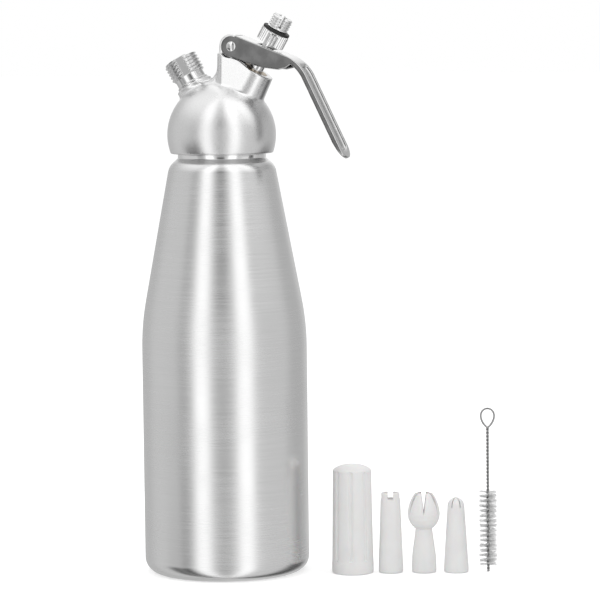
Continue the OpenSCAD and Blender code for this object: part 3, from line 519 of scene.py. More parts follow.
class Tree:
    """Short calls for building a node tree."""

    def __init__(self, tree: bpy.types.NodeTree) -> None:
        """Works on one tree."""
        self.tree = tree

    @classmethod
    def of(cls, owner: bpy.types.Material | bpy.types.World) -> "Tree":
        """Empties the node tree of a material or the world.

        Args:
            owner: The material or the world.

        Returns:
            Its tree, to build in.
        """
        owner.use_nodes = True
        owner.node_tree.nodes.clear()
        return cls(owner.node_tree)

    def feed(self, target: bpy.types.NodeSocket, value: object) -> None:
        """Links a socket into an input, or sets the input's value.

        Args:
            target: The input.
            value: A socket or a plain value.
        """
        if isinstance(value, bpy.types.NodeSocket):
            self.tree.links.new(value, target)
        else:
            target.default_value = value

    def add(
        self, kind: str, inputs: dict[str | int, object] | None = None, **settings: object
    ) -> bpy.types.Node:
        """Adds a node.

        Args:
            kind: Its type, such as ShaderNodeMath.
            inputs: Values or sockets by input name or number.
            **settings: Its own properties.

        Returns:
            The node.
        """
        node = self.tree.nodes.new(kind)
        for key, value in settings.items():
            setattr(node, key, value)
        for key, value in (inputs or {}).items():
            self.feed(node.inputs[key], value)
        return node

    def math(self, operation: str, *values: object) -> bpy.types.NodeSocket:
        """Adds a Math node and gives its output."""
        return self.add("ShaderNodeMath", dict(enumerate(values)), operation=operation).outputs[0]

    def ramp(
        self, value: bpy.types.NodeSocket, low: object, high: object, start: float = 0.0, end: float = 1.0
    ) -> bpy.types.NodeSocket:
        """Maps a stretch of values smoothly onto another.

        Args:
            value: The value to map.
            low: Value that gives start.
            high: Value that gives end.
            start: Result at low and below.
            end: Result at high and above.

        Returns:
            The mapped value.
        """
        limits = {"Value": value, "From Min": low, "From Max": high, "To Min": start, "To Max": end}
        node = self.add("ShaderNodeMapRange", limits, interpolation_type="SMOOTHSTEP")
        return node.outputs["Result"]

    def blend(self, share: object, a: object, b: object) -> bpy.types.NodeSocket:
        """Mixes two colours."""
        return self.add("ShaderNodeMix", {0: share, 6: a, 7: b}, data_type="RGBA").outputs[2]

    def effect(self, group: bpy.types.NodeTree, **inputs: object) -> bpy.types.NodeSocket:
        """Places an effect's group with its own values and gives its output."""
        return self.add("ShaderNodeGroup", inputs, node_tree=group).outputs[0]


def grey(level: float, warmth: float = 0.0) -> Colour:
    """A grey of a linear level, slightly warm or cool."""
    return (level * (1.0 + warmth), level, level * (1.0 - warmth), 1.0)


def shade(colour: Colour, factor: float) -> Colour:
    """A colour made darker or lighter by a factor."""
    return (*(min(1.0, part * factor) for part in colour[:3]), 1.0)


Sockets = bpy.types.bpy_prop_collection
Wiring = Callable[[Tree, Sockets], bpy.types.NodeSocket]


class Effects:
    """Shader groups that several finishes use. Each is built once."""

    @staticmethod
    def _group(name: str, inputs: dict[str, object], output: str, wiring: Wiring) -> bpy.types.NodeTree:
        """Finds a group, or makes it with its sockets and nodes.

        Args:
            name: Name of the group.
            inputs: Default of each input, with None for a place.
            output: Name of its output.
            wiring: Adds the nodes between the inputs and what it gives back for the output.

        Returns:
            The group.
        """
        found = bpy.data.node_groups.get(name)
        if found is not None:
            return found
        tree = bpy.data.node_groups.new(name, "ShaderNodeTree")
        for key, value in inputs.items():
            kind = "NodeSocketFloat" if isinstance(value, float) else "NodeSocketVector"
            socket = tree.interface.new_socket(key, in_out="INPUT", socket_type=kind)
            if value is not None:
                socket.default_value = value
        tree.interface.new_socket(output, in_out="OUTPUT", socket_type="NodeSocketFloat")
        nodes = Tree(tree)
        source, target = nodes.add("NodeGroupInput"), nodes.add("NodeGroupOutput")
        nodes.feed(target.inputs[output], wiring(nodes, source.outputs))
        return tree

    @classmethod
    def grain(cls) -> bpy.types.NodeTree:
        """Noise stretched along chosen directions: fine lines or a fine pitting, and broad patches.

        Returns:
            The group, with the output Value.
        """

        def wiring(nodes: Tree, given: Sockets) -> bpy.types.NodeSocket:
            """Stretches the place, takes noise there and spreads its values.

            Args:
                nodes: The group's tree.
                given: The group's inputs.

            Returns:
                The grain's value.
            """
            ends = {0: given["Vector"], 1: given["Stretch"]}
            place = nodes.add("ShaderNodeVectorMath", ends, operation="MULTIPLY").outputs[0]
            terms = {"Vector": place, "Scale": 1.0, "Detail": given["Detail"]}
            noise = nodes.add("ShaderNodeTexNoise", terms).outputs[0]
            limits = {"Value": noise, "From Min": given["Low"], "From Max": given["High"]}
            return nodes.add("ShaderNodeMapRange", limits).outputs["Result"]

        inputs = {"Vector": None, "Stretch": (1.0, 1.0, 1.0), "Detail": 2.0, "Low": 0.3, "High": 0.7}
        return cls._group("fine_grain", inputs, "Value", wiring)

    @classmethod
    def painted_edge_highlight(cls) -> bpy.types.NodeTree:
        """A mask that is 1 on convex edges, broken up by noise, for a painted highlight on them.

        Returns:
            The group, with the output Mask.
        """

        def wiring(nodes: Tree, given: Sockets) -> bpy.types.NodeSocket:
            """Picks out the edges and breaks them up.

            Args:
                nodes: The group's tree.
                given: The group's inputs.

            Returns:
                The mask.
            """
            point = nodes.add("ShaderNodeNewGeometry").outputs["Pointiness"]
            edge = nodes.ramp(point, given["Start"], given["End"])
            terms = {"Vector": given["Vector"], "Scale": given["Patch Scale"]}
            return nodes.math("MULTIPLY", edge, nodes.add("ShaderNodeTexNoise", terms).outputs[0])

        inputs = {"Vector": None, "Start": 0.52, "End": 0.6, "Patch Scale": 400.0}
        return cls._group("painted_edge_highlight", inputs, "Mask", wiring)

    @classmethod
    def smudge(cls) -> bpy.types.NodeTree:
        """Broad, faint patches left by handling.

        Returns:
            The group, with the output Value.
        """

        def wiring(nodes: Tree, given: Sockets) -> bpy.types.NodeSocket:
            """Takes noise and keeps its higher patches."""
            terms = {"Vector": given["Vector"], "Scale": given["Scale"], "Detail": SMUDGE_DETAIL}
            return nodes.ramp(nodes.add("ShaderNodeTexNoise", terms).outputs[0], *SMUDGE_SPREAD)

        return cls._group("handling_smudge", {"Vector": None, "Scale": 25.0}, "Value", wiring)


@dataclass(frozen=True)
class Finish:
    """What every finish has: a name and a base colour."""

    name: str
    colour: Colour

    def material(self) -> bpy.types.Material:
        """Builds the material once.

        Returns:
            The material, named after the finish.
        """
        name = f"{self.name}_finish"
        found = bpy.data.materials.get(name)
        if found is not None:
            return found
        made = bpy.data.materials.new(name)
        nodes = Tree.of(made)
        shader = nodes.add("ShaderNodeBsdfPrincipled", {"Base Color": self.colour})
        nodes.add("ShaderNodeOutputMaterial", {"Surface": shader.outputs[0]})
        where = nodes.add("ShaderNodeTexCoord").outputs["Object"]
        for key, value in self.inputs(nodes, where).items():
            nodes.feed(shader.inputs[key], value)
        return made

    def inputs(self, nodes: Tree, where: bpy.types.NodeSocket) -> dict[str, object]:
        """Values and sockets of the shader's inputs that are the finish's own."""
        return {}


@dataclass(frozen=True)
class Metal(Finish):
    """A metal with brushed lines or fine pitting."""

    roughness: float = 0.3
    stretch: Triple = (1500.0, 1500.0, 1500.0)
    broad: Triple = (300.0, 300.0, 300.0)
    swing: float = 0.08
    rough_swing: float = 0.08
    depth: float = 0.000004
    # Share and colour of the painted highlight that lightens convex edges.
    edge_highlight: float = 0.0
    edge_highlight_colour: Colour = grey(0.92)
    anisotropy: float = 0.0

    def inputs(self, nodes: Tree, where: bpy.types.NodeSocket) -> dict[str, object]:
        """Colour, roughness and bump from two scales of grain, a painted highlight on convex edges, and
        smudges.

        Args:
            nodes: The material's tree.
            where: The place on the object.

        Returns:
            Values and sockets by input name.
        """
        fine = nodes.effect(Effects.grain(), Vector=where, Stretch=self.stretch)
        wide = nodes.effect(Effects.grain(), Vector=where, Stretch=self.broad)
        smudge = nodes.effect(Effects.smudge(), Vector=where)
        both = nodes.math("MULTIPLY_ADD", wide, 0.5, nodes.math("MULTIPLY", fine, 0.5))
        darker, lighter = shade(self.colour, 1.0 - self.swing), shade(self.colour, 1.0 + self.swing)
        colour = nodes.blend(both, darker, lighter)
        # Painted highlight: convex edges are lightened, as where they catch the light.
        if self.edge_highlight > 0.0:
            edge_highlight = nodes.effect(Effects.painted_edge_highlight(), Vector=where)
            colour = nodes.blend(nodes.math("MULTIPLY", edge_highlight, self.edge_highlight), colour, self.edge_highlight_colour)
        half = self.rough_swing / 2.0
        rough = nodes.math("MULTIPLY_ADD", both, self.rough_swing, self.roughness - half)
        bump = nodes.add("ShaderNodeBump", {"Height": both, "Strength": 1.0, "Distance": self.depth})
        found = {
            "Metallic": 1.0,
            "Anisotropic": self.anisotropy,
            "Base Color": self.tint(nodes, where, colour),
            "Roughness": nodes.math("MULTIPLY_ADD", smudge, half, rough),
            "Normal": bump.outputs[0],
        }
        if self.anisotropy > 0.0:
            tangent = nodes.add("ShaderNodeTangent", direction_type="RADIAL", axis="Z")
            found["Tangent"] = tangent.outputs[0]
        return found

    def tint(
        self, nodes: Tree, where: bpy.types.NodeSocket, colour: bpy.types.NodeSocket
    ) -> bpy.types.NodeSocket:
        """Colour after what a special finish adds to it."""
        return colour


@dataclass(frozen=True)
class TwoSidedMetal(Metal):
    """A polished metal whose upright sides get painted shade: a darker colour, mottled by noise, in place
    of the dark reflection that these sides show.
    """

    # Colour of the painted shade on the sides, the normals from which it starts and is full, and its
    # mottling.
    side_shade_colour: Colour = grey(0.15)
    side_from: float = 0.8
    side_full: float = 0.97
    shade_mottle_scale: float = 140.0
    shade_mottle_dark: float = 0.72

    def tint(
        self, nodes: Tree, where: bpy.types.NodeSocket, colour: bpy.types.NodeSocket
    ) -> bpy.types.NodeSocket:
        """Paints shade on faces that look along the pivot's axis, in place of the dark reflection they
        show.

        Args:
            nodes: The material's tree.
            where: The place on the object.
            colour: Colour of the polished faces.

        Returns:
            Colour of all faces, with the painted shade on the sides.
        """
        # Painted shade: faces along the pivot's axis get a dark colour in place of their dark reflection.
        normal = nodes.add("ShaderNodeNewGeometry").outputs["True Normal"]
        turn = {"vector_type": "NORMAL", "convert_from": "WORLD", "convert_to": "OBJECT"}
        local = nodes.add("ShaderNodeVectorTransform", {0: normal}, **turn).outputs[0]
        parts = nodes.add("ShaderNodeSeparateXYZ", {0: local})
        along = nodes.math("ABSOLUTE", parts.outputs["Y"])
        shade_mottle = nodes.effect(Effects.smudge(), Vector=where, Scale=self.shade_mottle_scale)
        side_shade = nodes.blend(shade_mottle, shade(self.side_shade_colour, self.shade_mottle_dark), self.side_shade_colour)
        return nodes.blend(nodes.ramp(along, self.side_from, self.side_full), colour, side_shade)


@dataclass(frozen=True)
class Plastic(Finish):
    """A satin moulded plastic."""

    roughness: float = 0.42
    rough_swing: float = 0.08
    subsurface: float = 0.0
    subsurface_scale: float = 0.002
    specular: float = 0.4
    grain_scale: float = 2500.0
    smudge_scale: float = 90.0
    depth: float = 0.000006
    swing: float = 0.03

    def inputs(self, nodes: Tree, where: bpy.types.NodeSocket) -> dict[str, object]:
        """Faint mottling, soft pitting and smudges.

        Args:
            nodes: The material's tree.
            where: The place on the object.

        Returns:
            Values and sockets by input name.
        """
        fine = nodes.effect(Effects.grain(), Vector=where, Stretch=(self.grain_scale,) * 3)
        smudge = nodes.effect(Effects.smudge(), Vector=where, Scale=self.smudge_scale)
        least = self.roughness - self.rough_swing / 2.0
        bump = nodes.add("ShaderNodeBump", {"Height": fine, "Distance": self.depth})
        return {
            "Subsurface Weight": self.subsurface,
            "Subsurface Scale": self.subsurface_scale,
            "Specular IOR Level": self.specular,
            "Base Color": nodes.blend(smudge, self.colour, shade(self.colour, 1.0 - self.swing)),
            "Roughness": nodes.math("MULTIPLY_ADD", fine, self.rough_swing, least),
            "Normal": bump.outputs[0],
        }


class Finishes:
    """The finishes of this object."""

    BOTTLE = Metal(
        "bottle_aluminium", grey(0.76), roughness=0.235, stretch=(60.0, 60.0, 5200.0),
        broad=(25.0, 25.0, 1100.0), swing=0.04, depth=0.0000022, anisotropy=0.3,
    )
    BAND = Metal(
        "band_aluminium", grey(0.8), roughness=0.1, stretch=(60.0, 60.0, 4000.0),
        broad=(25.0, 25.0, 1200.0), swing=0.03, rough_swing=0.04, depth=0.000001,
    )
    HEAD = Metal(
        "head_aluminium", grey(0.79), roughness=0.29, stretch=(2600.0,) * 3, broad=(1100.0,) * 3,
        swing=0.06, rough_swing=0.1, depth=0.00002, edge_highlight=0.5,
    )
    ADAPTER = Metal(
        "adapter_aluminium", grey(0.8), roughness=0.24, stretch=(2600.0,) * 3, broad=(700.0,) * 3,
        swing=0.05, depth=0.000003, edge_highlight=0.6,
    )
    STEEL = Metal(
        "polished_steel", grey(0.7), roughness=0.09, stretch=(1800.0,) * 3, broad=(400.0,) * 3,
        swing=0.04, rough_swing=0.05, depth=0.000001, edge_highlight=0.4,
    )
    # The lever's sides get painted shade: a dark colour in place of the dark reflection they show.
    LEVER = TwoSidedMetal(
        "dark_polished_steel", grey(0.58), roughness=0.15, stretch=(300.0, 3000.0, 3000.0),
        broad=(120.0, 600.0, 600.0), swing=0.06, rough_swing=0.06, depth=0.000001, edge_highlight=0.5,
    )
    SPRING = Metal("spring_steel", grey(0.5), roughness=0.25)
    WIRE = Metal("wire_steel", grey(0.34), roughness=0.16, stretch=(3000.0,) * 3)
    BRASS = Metal("brass_bush", (0.3, 0.23, 0.14, 1.0), roughness=0.28)
    RUBBER = Plastic("black_rubber", grey(0.018), roughness=0.55, swing=0.2)
    SEAL = Plastic("white_seal", grey(0.6, 0.01), roughness=0.4)
    PLASTIC = Plastic("white_plastic", grey(0.83, 0.006), roughness=0.4, subsurface=0.08)
    BRISTLE = Plastic("white_bristle", grey(0.93), roughness=0.5)


@dataclass(frozen=True)
class Frame:
    """Places of the ball, the pivot and the row of accessories, in mm."""

    ball_z: float = 251.0
    port_tilt: float = 30.0
    pivot_x: float = 9.3
    pivot_z: float = 301.085
    lever_fall: float = 21.5
    row_turn: float = 17.0
    row_start: float = 72.5
    row_near: float = 10.0
    row_steps: tuple[float, ...] = (0.0, 21.8, 40.8, 59.2, 77.5)

    @property
    def lean(self) -> float:
        """Lean of both ports from upright, in radians."""
        return math.radians(self.port_tilt)

    @property
    def pivot_rise(self) -> float:
        """Height of the pivot over the ball's centre."""
        return self.pivot_z - self.ball_z

    def port(self, side: int) -> Matrix:
        """Frame of the valve, side 1, or of the charger's stub, side -1: its Z runs out of the ball."""
        turn = Matrix.Rotation(side * self.lean, 4, "Y")
        return Matrix.Translation((0.0, 0.0, self.ball_z)) @ turn

    def fork(self) -> Matrix:
        """Frame of the lever: its X runs along the fork from the pivot."""
        turn = Matrix.Rotation(math.radians(self.lever_fall), 4, "Y")
        return Matrix.Translation((self.pivot_x, 0.0, self.pivot_z)) @ turn

    def stand(self, place: int) -> Matrix:
        """Finds where an accessory of the row stands.

        Args:
            place: Its number in the row, from 0.

        Returns:
            Its frame.
        """
        turn = Matrix.Rotation(math.radians(self.row_turn), 4, "Z")
        along = self.row_start + self.row_steps[place]
        return turn @ Matrix.Translation((along, -self.row_near, 0.0))


FRAME = Frame()


def settle(obj: bpy.types.Object, body: Body, finish: Finish, node: str) -> None:
    """Dresses a piece, lets it stand for its plain solid and ride on its body.

    Args:
        obj: The piece, in place.
        body: The body that it rides on.
        finish: Its finish.
        node: The plain solid that it stands for.
    """
    obj.data.materials.append(finish.material())
    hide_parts(node)
    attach(obj, body.value)
    LOG.info("%s: %d faces, rides on %s", obj.name, len(obj.data.polygons), body.value)


@dataclass
class Bottle:
    """The brushed bottle with its polished neck band and thread."""

    radius: float = 47.2
    wall: float = 2.0
    base_edge: float = 9.0
    foot_r: float = 31.0
    foot_slope: float = 2.5
    foot_bend: float = 1.2
    recess: float = 1.5
    body_h: float = 143.0
    blend_r: float = 150.0
    shoulder_h: float = 233.6
    shoulder_turn: float = 50.0
    shoulder_r: float = 10.0
    shoulder_w: float = 5.05
    band_r: float = 25.2
    band_top: float = 241.0
    band_from: float = 237.0
    band_edge: float = 0.5
    band_step: float = 0.25
    neck_r: float = 23.6
    row_h: float = 0.25
    thread_r: float = 24.9
    thread_rise: float = 1.9
    thread_flat: float = 0.22
    thread_fade: float = 3.0
    pitch: float = 4.0
    turns: float = 2.6
    mouth_r: float = 21.5
    lip: float = 0.6
    height: float = 258.0
    segments: int = 240
    sharp_from: float = 50.0

    def side(self, inset: float) -> Profile:
        """Outline from the lower edge to the shoulder.

        Args:
            inset: How far it is set in from the outer face.

        Returns:
            Its points from the bottom up.
        """
        meet = self.band_r + self.shoulder_w
        cone = math.degrees(math.atan((self.radius - meet) / (self.shoulder_h - self.body_h)))
        run = self.shoulder_r * math.tan(math.radians(self.shoulder_turn - cone) / 2.0)
        lean = math.radians(cone)
        shoulder = (
            meet + run * math.sin(lean) - self.shoulder_r * math.cos(lean),
            self.shoulder_h - run * math.cos(lean) - self.shoulder_r * math.sin(lean),
        )
        blend = (self.radius - self.blend_r, self.body_h - self.blend_r * math.tan(lean / 2.0))
        base = (self.radius - self.base_edge, self.base_edge)
        return [
            *arc(base, self.base_edge - inset, -90.0, 0.0, 16),
            *arc(blend, self.blend_r - inset, 0.0, cone, 24),
            *arc(shoulder, self.shoulder_r - inset, cone, self.shoulder_turn, 16),
        ]

    def profile(self) -> Profile:
        """The whole section, from the middle of the foot round the wall to the middle of the floor.

        Returns:
            Its (radius, height) points.
        """
        outer, inner = self.side(0.0), self.side(self.wall)
        fall = math.tan(math.radians(self.shoulder_turn))
        band_foot = outer[-1][1] + (outer[-1][0] - self.band_r) / fall
        inner_top = inner[-1][1] + (inner[-1][0] - self.mouth_r) / fall
        soft, step, lip_z = self.band_edge, self.band_step, self.height - self.lip
        neck = [(self.neck_r, z) for z in np.arange(self.band_top + 0.3, lip_z, self.row_h)]
        return [
            (0.0, self.recess),
            (self.foot_r - self.foot_slope, self.recess),
            (self.foot_r - self.foot_bend, self.recess * 0.7),
            (self.foot_r, 0.0),
            *outer,
            (self.band_r + step, band_foot - step),
            (self.band_r, band_foot + 0.2),
            *arc((self.band_r - soft, self.band_top - soft), soft, 0.0, 90.0, 5),
            *neck,
            *arc((self.neck_r - self.lip, lip_z), self.lip, 0.0, 90.0, 4),
            *arc((self.mouth_r + self.lip, lip_z), self.lip, 90.0, 180.0, 4),
            (self.mouth_r, inner_top),
            *reversed(inner),
            (0.0, self.wall),
        ]

    def threaded(self, radius: Array, height: Array, angle: Array) -> Array:
        """Raises the neck's outer face to a helical ridge that fades at both ends.

        Args:
            radius: Radius of the plain bottle.
            height: Height of each point.
            angle: Angle of each point round the axis.

        Returns:
            The radius with the ridge.
        """
        share = angle / math.tau
        turn = (height - self.band_top - self.thread_rise) / self.pitch - share
        ridge = tooth(turn, self.thread_flat)
        level = np.clip(turn + 0.5, 0.0, None)
        left = np.minimum(level, self.turns - np.floor(level) - share)
        fade = np.clip(left * self.thread_fade, 0.0, 1.0)
        on_neck = np.isclose(radius, self.neck_r) & (height > self.band_top)
        return np.where(on_neck, radius + (self.thread_r - self.neck_r) * ridge * fade, radius)

    def build(self) -> None:
        """Turns the bottle and dresses it."""
        shell = lathe("bottle_shell", self.profile(), self.segments, self.threaded)
        crease(shell, self.sharp_from)
        settle(shell, Body.BOTTLE, Finishes.BOTTLE, "bottle")
        shell.data.materials.append(Finishes.BAND.material())
        for face in shell.data.polygons:
            face.material_index = int(face.center.z > self.band_from * MM)


@dataclass
class Head:
    """The cast head: ball, block with the post and ear, valve boss and stub pad."""

    ball_r: float = 31.0
    hollow_r: float = 22.0
    skirt: float = -10.6
    skirt_edge: float = 0.9
    mouth: tuple[tuple[float, float], ...] = ((25.6, -9.0), (25.3, 7.0), (25.0, 9.0))
    boss_r: float = 10.8
    boss_foot: float = 20.0
    boss_face: float = 42.4
    boss_draft: float = 5.0
    valve_bores: tuple[Triple, ...] = (
        (6.5, 18.5, 22.5), (4.3, 0.0, 60.0), (6.3, 27.0, 60.0), (7.0, 37.5, 60.0),
    )
    pad_r: float = 10.7
    pad_face: float = 32.8
    pad_blend: float = 2.0
    stub_bores: tuple[Triple, ...] = ((6.0, 0.0, 60.0), (8.4, 0.0, 23.5))
    block_back: float = 1.0
    block_l: float = 40.0
    block_foot: float = 12.0
    block_top: float = 46.185
    block_edge: float = 4.0
    rim: float = 0.5
    ear_r: float = 7.1
    ear_w: float = 12.0
    ear_shift: float = 0.8
    ear_fore: float = 4.35
    ear_edge: float = 0.6
    ear_blend: float = 1.5
    pivot_bore: float = 2.2
    side_gap: float = 0.1
    cheek_gap: float = 0.35
    sweep_r: float = 6.55
    web_under: float = 4.51
    web_start: float = 0.05
    room_h: float = 41.0
    swing: float = 10.0
    fillet: float = 1.4
    flare_r: float = 9.0
    flare_in: float = 8.0
    flare_edge: float = 2.0
    flare_taper: float = 0.2
    flare_blend: float = 1.0
    top: float = 58.0
    cell: float = 0.6

    @staticmethod
    def port(p: Array, side: int) -> tuple[Array, Array]:
        """Sees points from a port.

        Args:
            p: Points in the frame of the ball's centre.
            side: 1 for the valve's port, -1 for the stub's.

        Returns:
            Height along the port's axis and distance from it.
        """
        cos, sin = math.cos(FRAME.lean), math.sin(FRAME.lean)
        along = side * p[:, 0] * sin + p[:, 2] * cos
        return along, np.hypot(p[:, 0] * cos - side * p[:, 2] * sin, p[:, 1])

    def block(self, p: Array) -> Array:
        """The block with the post at its back.

        Args:
            p: Points in the frame of the ball's centre.

        Returns:
            Distance to the block.
        """
        x, y, z = p.T
        foot, top = self.block_foot, self.block_top
        face = (math.sin(FRAME.lean) * self.boss_face, math.cos(FRAME.lean) * self.boss_face)
        slant = foot * math.tan(FRAME.lean)
        side = outline([(0.0, foot), (0.0, top), (FRAME.pivot_x, top), face, (slant, foot)])(x, z)
        draft = (self.boss_face - self.port(p, 1)[0]) * math.tan(math.radians(self.boss_draft))
        length = between(x, self.block_back, self.block_back + self.block_l)
        width = np.abs(y) - self.boss_r - np.maximum(draft, 0.0)
        return np.maximum(slab(length, width, self.block_edge), side)

    def flare(self, p: Array) -> Array:
        """The post's back, swept in a hollow curve onto the ball.

        Args:
            p: Points in the frame of the ball's centre.

        Returns:
            Distance to the flare.
        """
        x, y, z = p.T
        r, middle_x, inner = self.flare_r, self.block_back - self.flare_r, self.block_back + self.flare_in
        middle_z = math.sqrt((self.ball_r + r) ** 2 - middle_x**2)
        low = math.degrees(math.asin(middle_z / (self.ball_r + r))) - 180.0
        hollow = arc((middle_x, middle_z), r, 0.0, low, 16)
        side = outline([(inner, middle_z), *hollow, (inner, self.boss_foot)])(x, z)
        spread = np.maximum(middle_z - z, 0.0) * self.flare_taper
        return slab(side, np.abs(y) - self.boss_r + self.flare_edge - spread, self.flare_edge)

    def ear(self, p: Array) -> Array:
        """The ear between the lever's cheeks, round at its top.

        Args:
            p: Points in the frame of the ball's centre.

        Returns:
            Distance to the ear.
        """
        x, y, z = p.T
        rise, middle = FRAME.pivot_rise, FRAME.pivot_x - self.ear_shift
        tip = np.hypot(x - middle, z - rise) - self.ear_r
        depth = between(x, middle - self.ear_r, middle + self.ear_fore)
        leg = np.maximum(depth, between(z, self.block_foot, rise))
        return slab(np.minimum(tip, leg), np.abs(y) - self.ear_w / 2.0, self.ear_edge)

    @staticmethod
    def from_lever(x: Array, z: Array, swing: float) -> tuple[Array, Array]:
        """Places beside the pivot as the lever has them after it has swung by some degrees."""
        turn = math.radians(FRAME.lever_fall + swing)
        return x * math.cos(turn) - z * math.sin(turn), x * math.sin(turn) + z * math.cos(turn)

    def lever_room(self, p: Array) -> Array:
        """Space that the lever's cheeks and web need as it swings.

        Args:
            p: Points in the frame of the ball's centre.

        Returns:
            Distance to that space.
        """
        lever = Lever()
        x, z, across = p[:, 0] - FRAME.pivot_x, p[:, 2] - FRAME.pivot_rise, np.abs(p[:, 1])
        round_pivot = np.hypot(x, z) - self.sweep_r
        line = lever.cheek_line()
        lowered = [(u, w - self.cheek_gap) for u, w in line]
        top = [(line[-1][0], self.room_h), (0.0, self.room_h)]
        swept = np.minimum(outline([*lowered, *top])(*self.from_lever(x, z, self.swing)), round_pivot)
        swept = np.maximum(swept, self.ear_w / 2.0 + self.side_gap - across)
        swept = np.maximum(swept, across - lever.width / 2.0 - 2.0 * self.side_gap)
        outside = np.minimum(outline([*line, *top])(*self.from_lever(x, z, 0.0)), round_pivot)
        room = np.minimum(swept, np.maximum(outside, lever.width / 2.0 - across))
        for swing in (0.0, self.swing / 2.0, self.swing):
            u, w = self.from_lever(x, z, swing)
            room = np.minimum(room, np.maximum(self.web_start - u, self.web_under - w))
        return room

    def solid(self, p: Array) -> Array:
        """The whole casting.

        Args:
            p: Points in the frame of the ball's centre.

        Returns:
            Distance to the head.
        """
        x, y, z = p.T
        from_centre = np.sqrt(x * x + y * y + z * z)
        along, off = self.port(p, 1)
        stub_along, stub_off = self.port(p, -1)
        draft = (self.boss_face - along) * math.tan(math.radians(self.boss_draft))
        boss = slab(off - self.boss_r - draft, between(along, self.boss_foot, self.boss_face), self.rim)
        upper = joined(joined(self.block(p), boss), self.flare(p), self.flare_blend)
        body = joined(from_centre - self.ball_r, upper, self.fillet)
        pad_h = between(stub_along, self.boss_foot, self.pad_face)
        body = joined(body, slab(stub_off - self.pad_r, pad_h, self.rim), self.pad_blend)
        body = joined(body, self.ear(p), self.ear_blend)
        body = carved(body, self.lever_room(p), self.rim)
        body = shared(body, self.skirt - z, self.skirt_edge)
        for radius, top in self.mouth:
            body = carved(body, np.maximum(np.hypot(x, y) - radius, z - top))
        body = carved(body, from_centre - self.hollow_r)
        body = carved(body, np.hypot(x - FRAME.pivot_x, z - FRAME.pivot_rise) - self.pivot_bore)
        for bores, t, away in ((self.valve_bores, along, off), (self.stub_bores, stub_along, stub_off)):
            for radius, low, high in bores:
                body = carved(body, np.maximum(away - radius, between(t, low, high)))
        return body

    def build(self) -> None:
        """Meshes the casting and dresses it."""
        side = self.ball_r + 1.0
        skin = Skin.of(self.solid, (-side, -side, self.skirt), (side + 1.0, side, self.top), self.cell)
        cast = skinned("head_cast_body", skin, Matrix.Translation((0.0, 0.0, FRAME.ball_z)))
        settle(cast, Body.HEAD, Finishes.HEAD, "head_casting")


@dataclass
class ChargerStub:
    """The threaded stub that the charger's holder screws onto."""

    neck_r: float = 8.6
    root_r: float = 8.9
    crest_r: float = 10.0
    foot: float = 33.6
    foot_r: float = 9.4
    foot_h: float = 0.9
    thread_at: float = 38.6
    top: float = 49.8
    pitch: float = 2.0
    lead: float = 0.9
    spigot_r: float = 6.0
    spigot_at: float = 22.0
    edge: float = 0.3
    thread_edge: float = 0.25
    foot_edge: float = 0.35
    hole_edge: float = 0.2
    bores: tuple[tuple[float, float], ...] = ((1.6, 0.0), (4.4, 36.0), (5.0, 42.8))
    vent_w: float = 4.0
    vent_r: float = 8.1
    vent_turn: float = 16.0
    cell: float = 0.24

    def solid(self, p: Array) -> Array:
        """The stub, with its vents sawn into the thread.

        Args:
            p: Points in the frame of its port.

        Returns:
            Distance to the stub.
        """
        u, y, t = p.T
        off, angle = np.hypot(u, y), np.arctan2(y, u)
        side = thread(off, angle, t, self.root_r, self.crest_r, self.pitch)
        ends = np.maximum(t - self.top + self.lead, 0.0) + np.maximum(self.thread_at + self.lead - t, 0.0)
        side = np.maximum(side, (off - self.crest_r + ends) * THREAD_EASE)
        body = slab(side, between(t, self.thread_at, self.top), self.thread_edge)
        rows = (
            (self.neck_r, self.foot, self.thread_at + 1.0, self.edge),
            (self.foot_r, self.foot, self.foot + self.foot_h, self.foot_edge),
            (self.spigot_r, self.spigot_at, self.foot + 1.0, self.edge),
        )
        body = np.minimum(body, rods(off, t, rows))
        for radius, low in self.bores:
            body = carved(body, np.maximum(off - radius, low - t), self.hole_edge)
        turn = math.radians(self.vent_turn)
        across = np.abs(u * math.cos(turn) + y * math.sin(turn)) - self.vent_w / 2.0
        out = np.abs(y * math.cos(turn) - u * math.sin(turn))
        vent = np.maximum(np.maximum(across, self.vent_r - out), self.thread_at - t)
        return carved(body, vent, self.hole_edge)

    def build(self) -> None:
        """Meshes the stub and dresses it."""
        side = self.crest_r + 0.2
        skin = Skin.of(self.solid, (-side, -side, self.spigot_at), (side, side, self.top), self.cell)
        stub = skinned("charger_stub_body", skin, FRAME.port(-1))
        settle(stub, Body.HEAD, Finishes.STEEL, "inlet_stub")


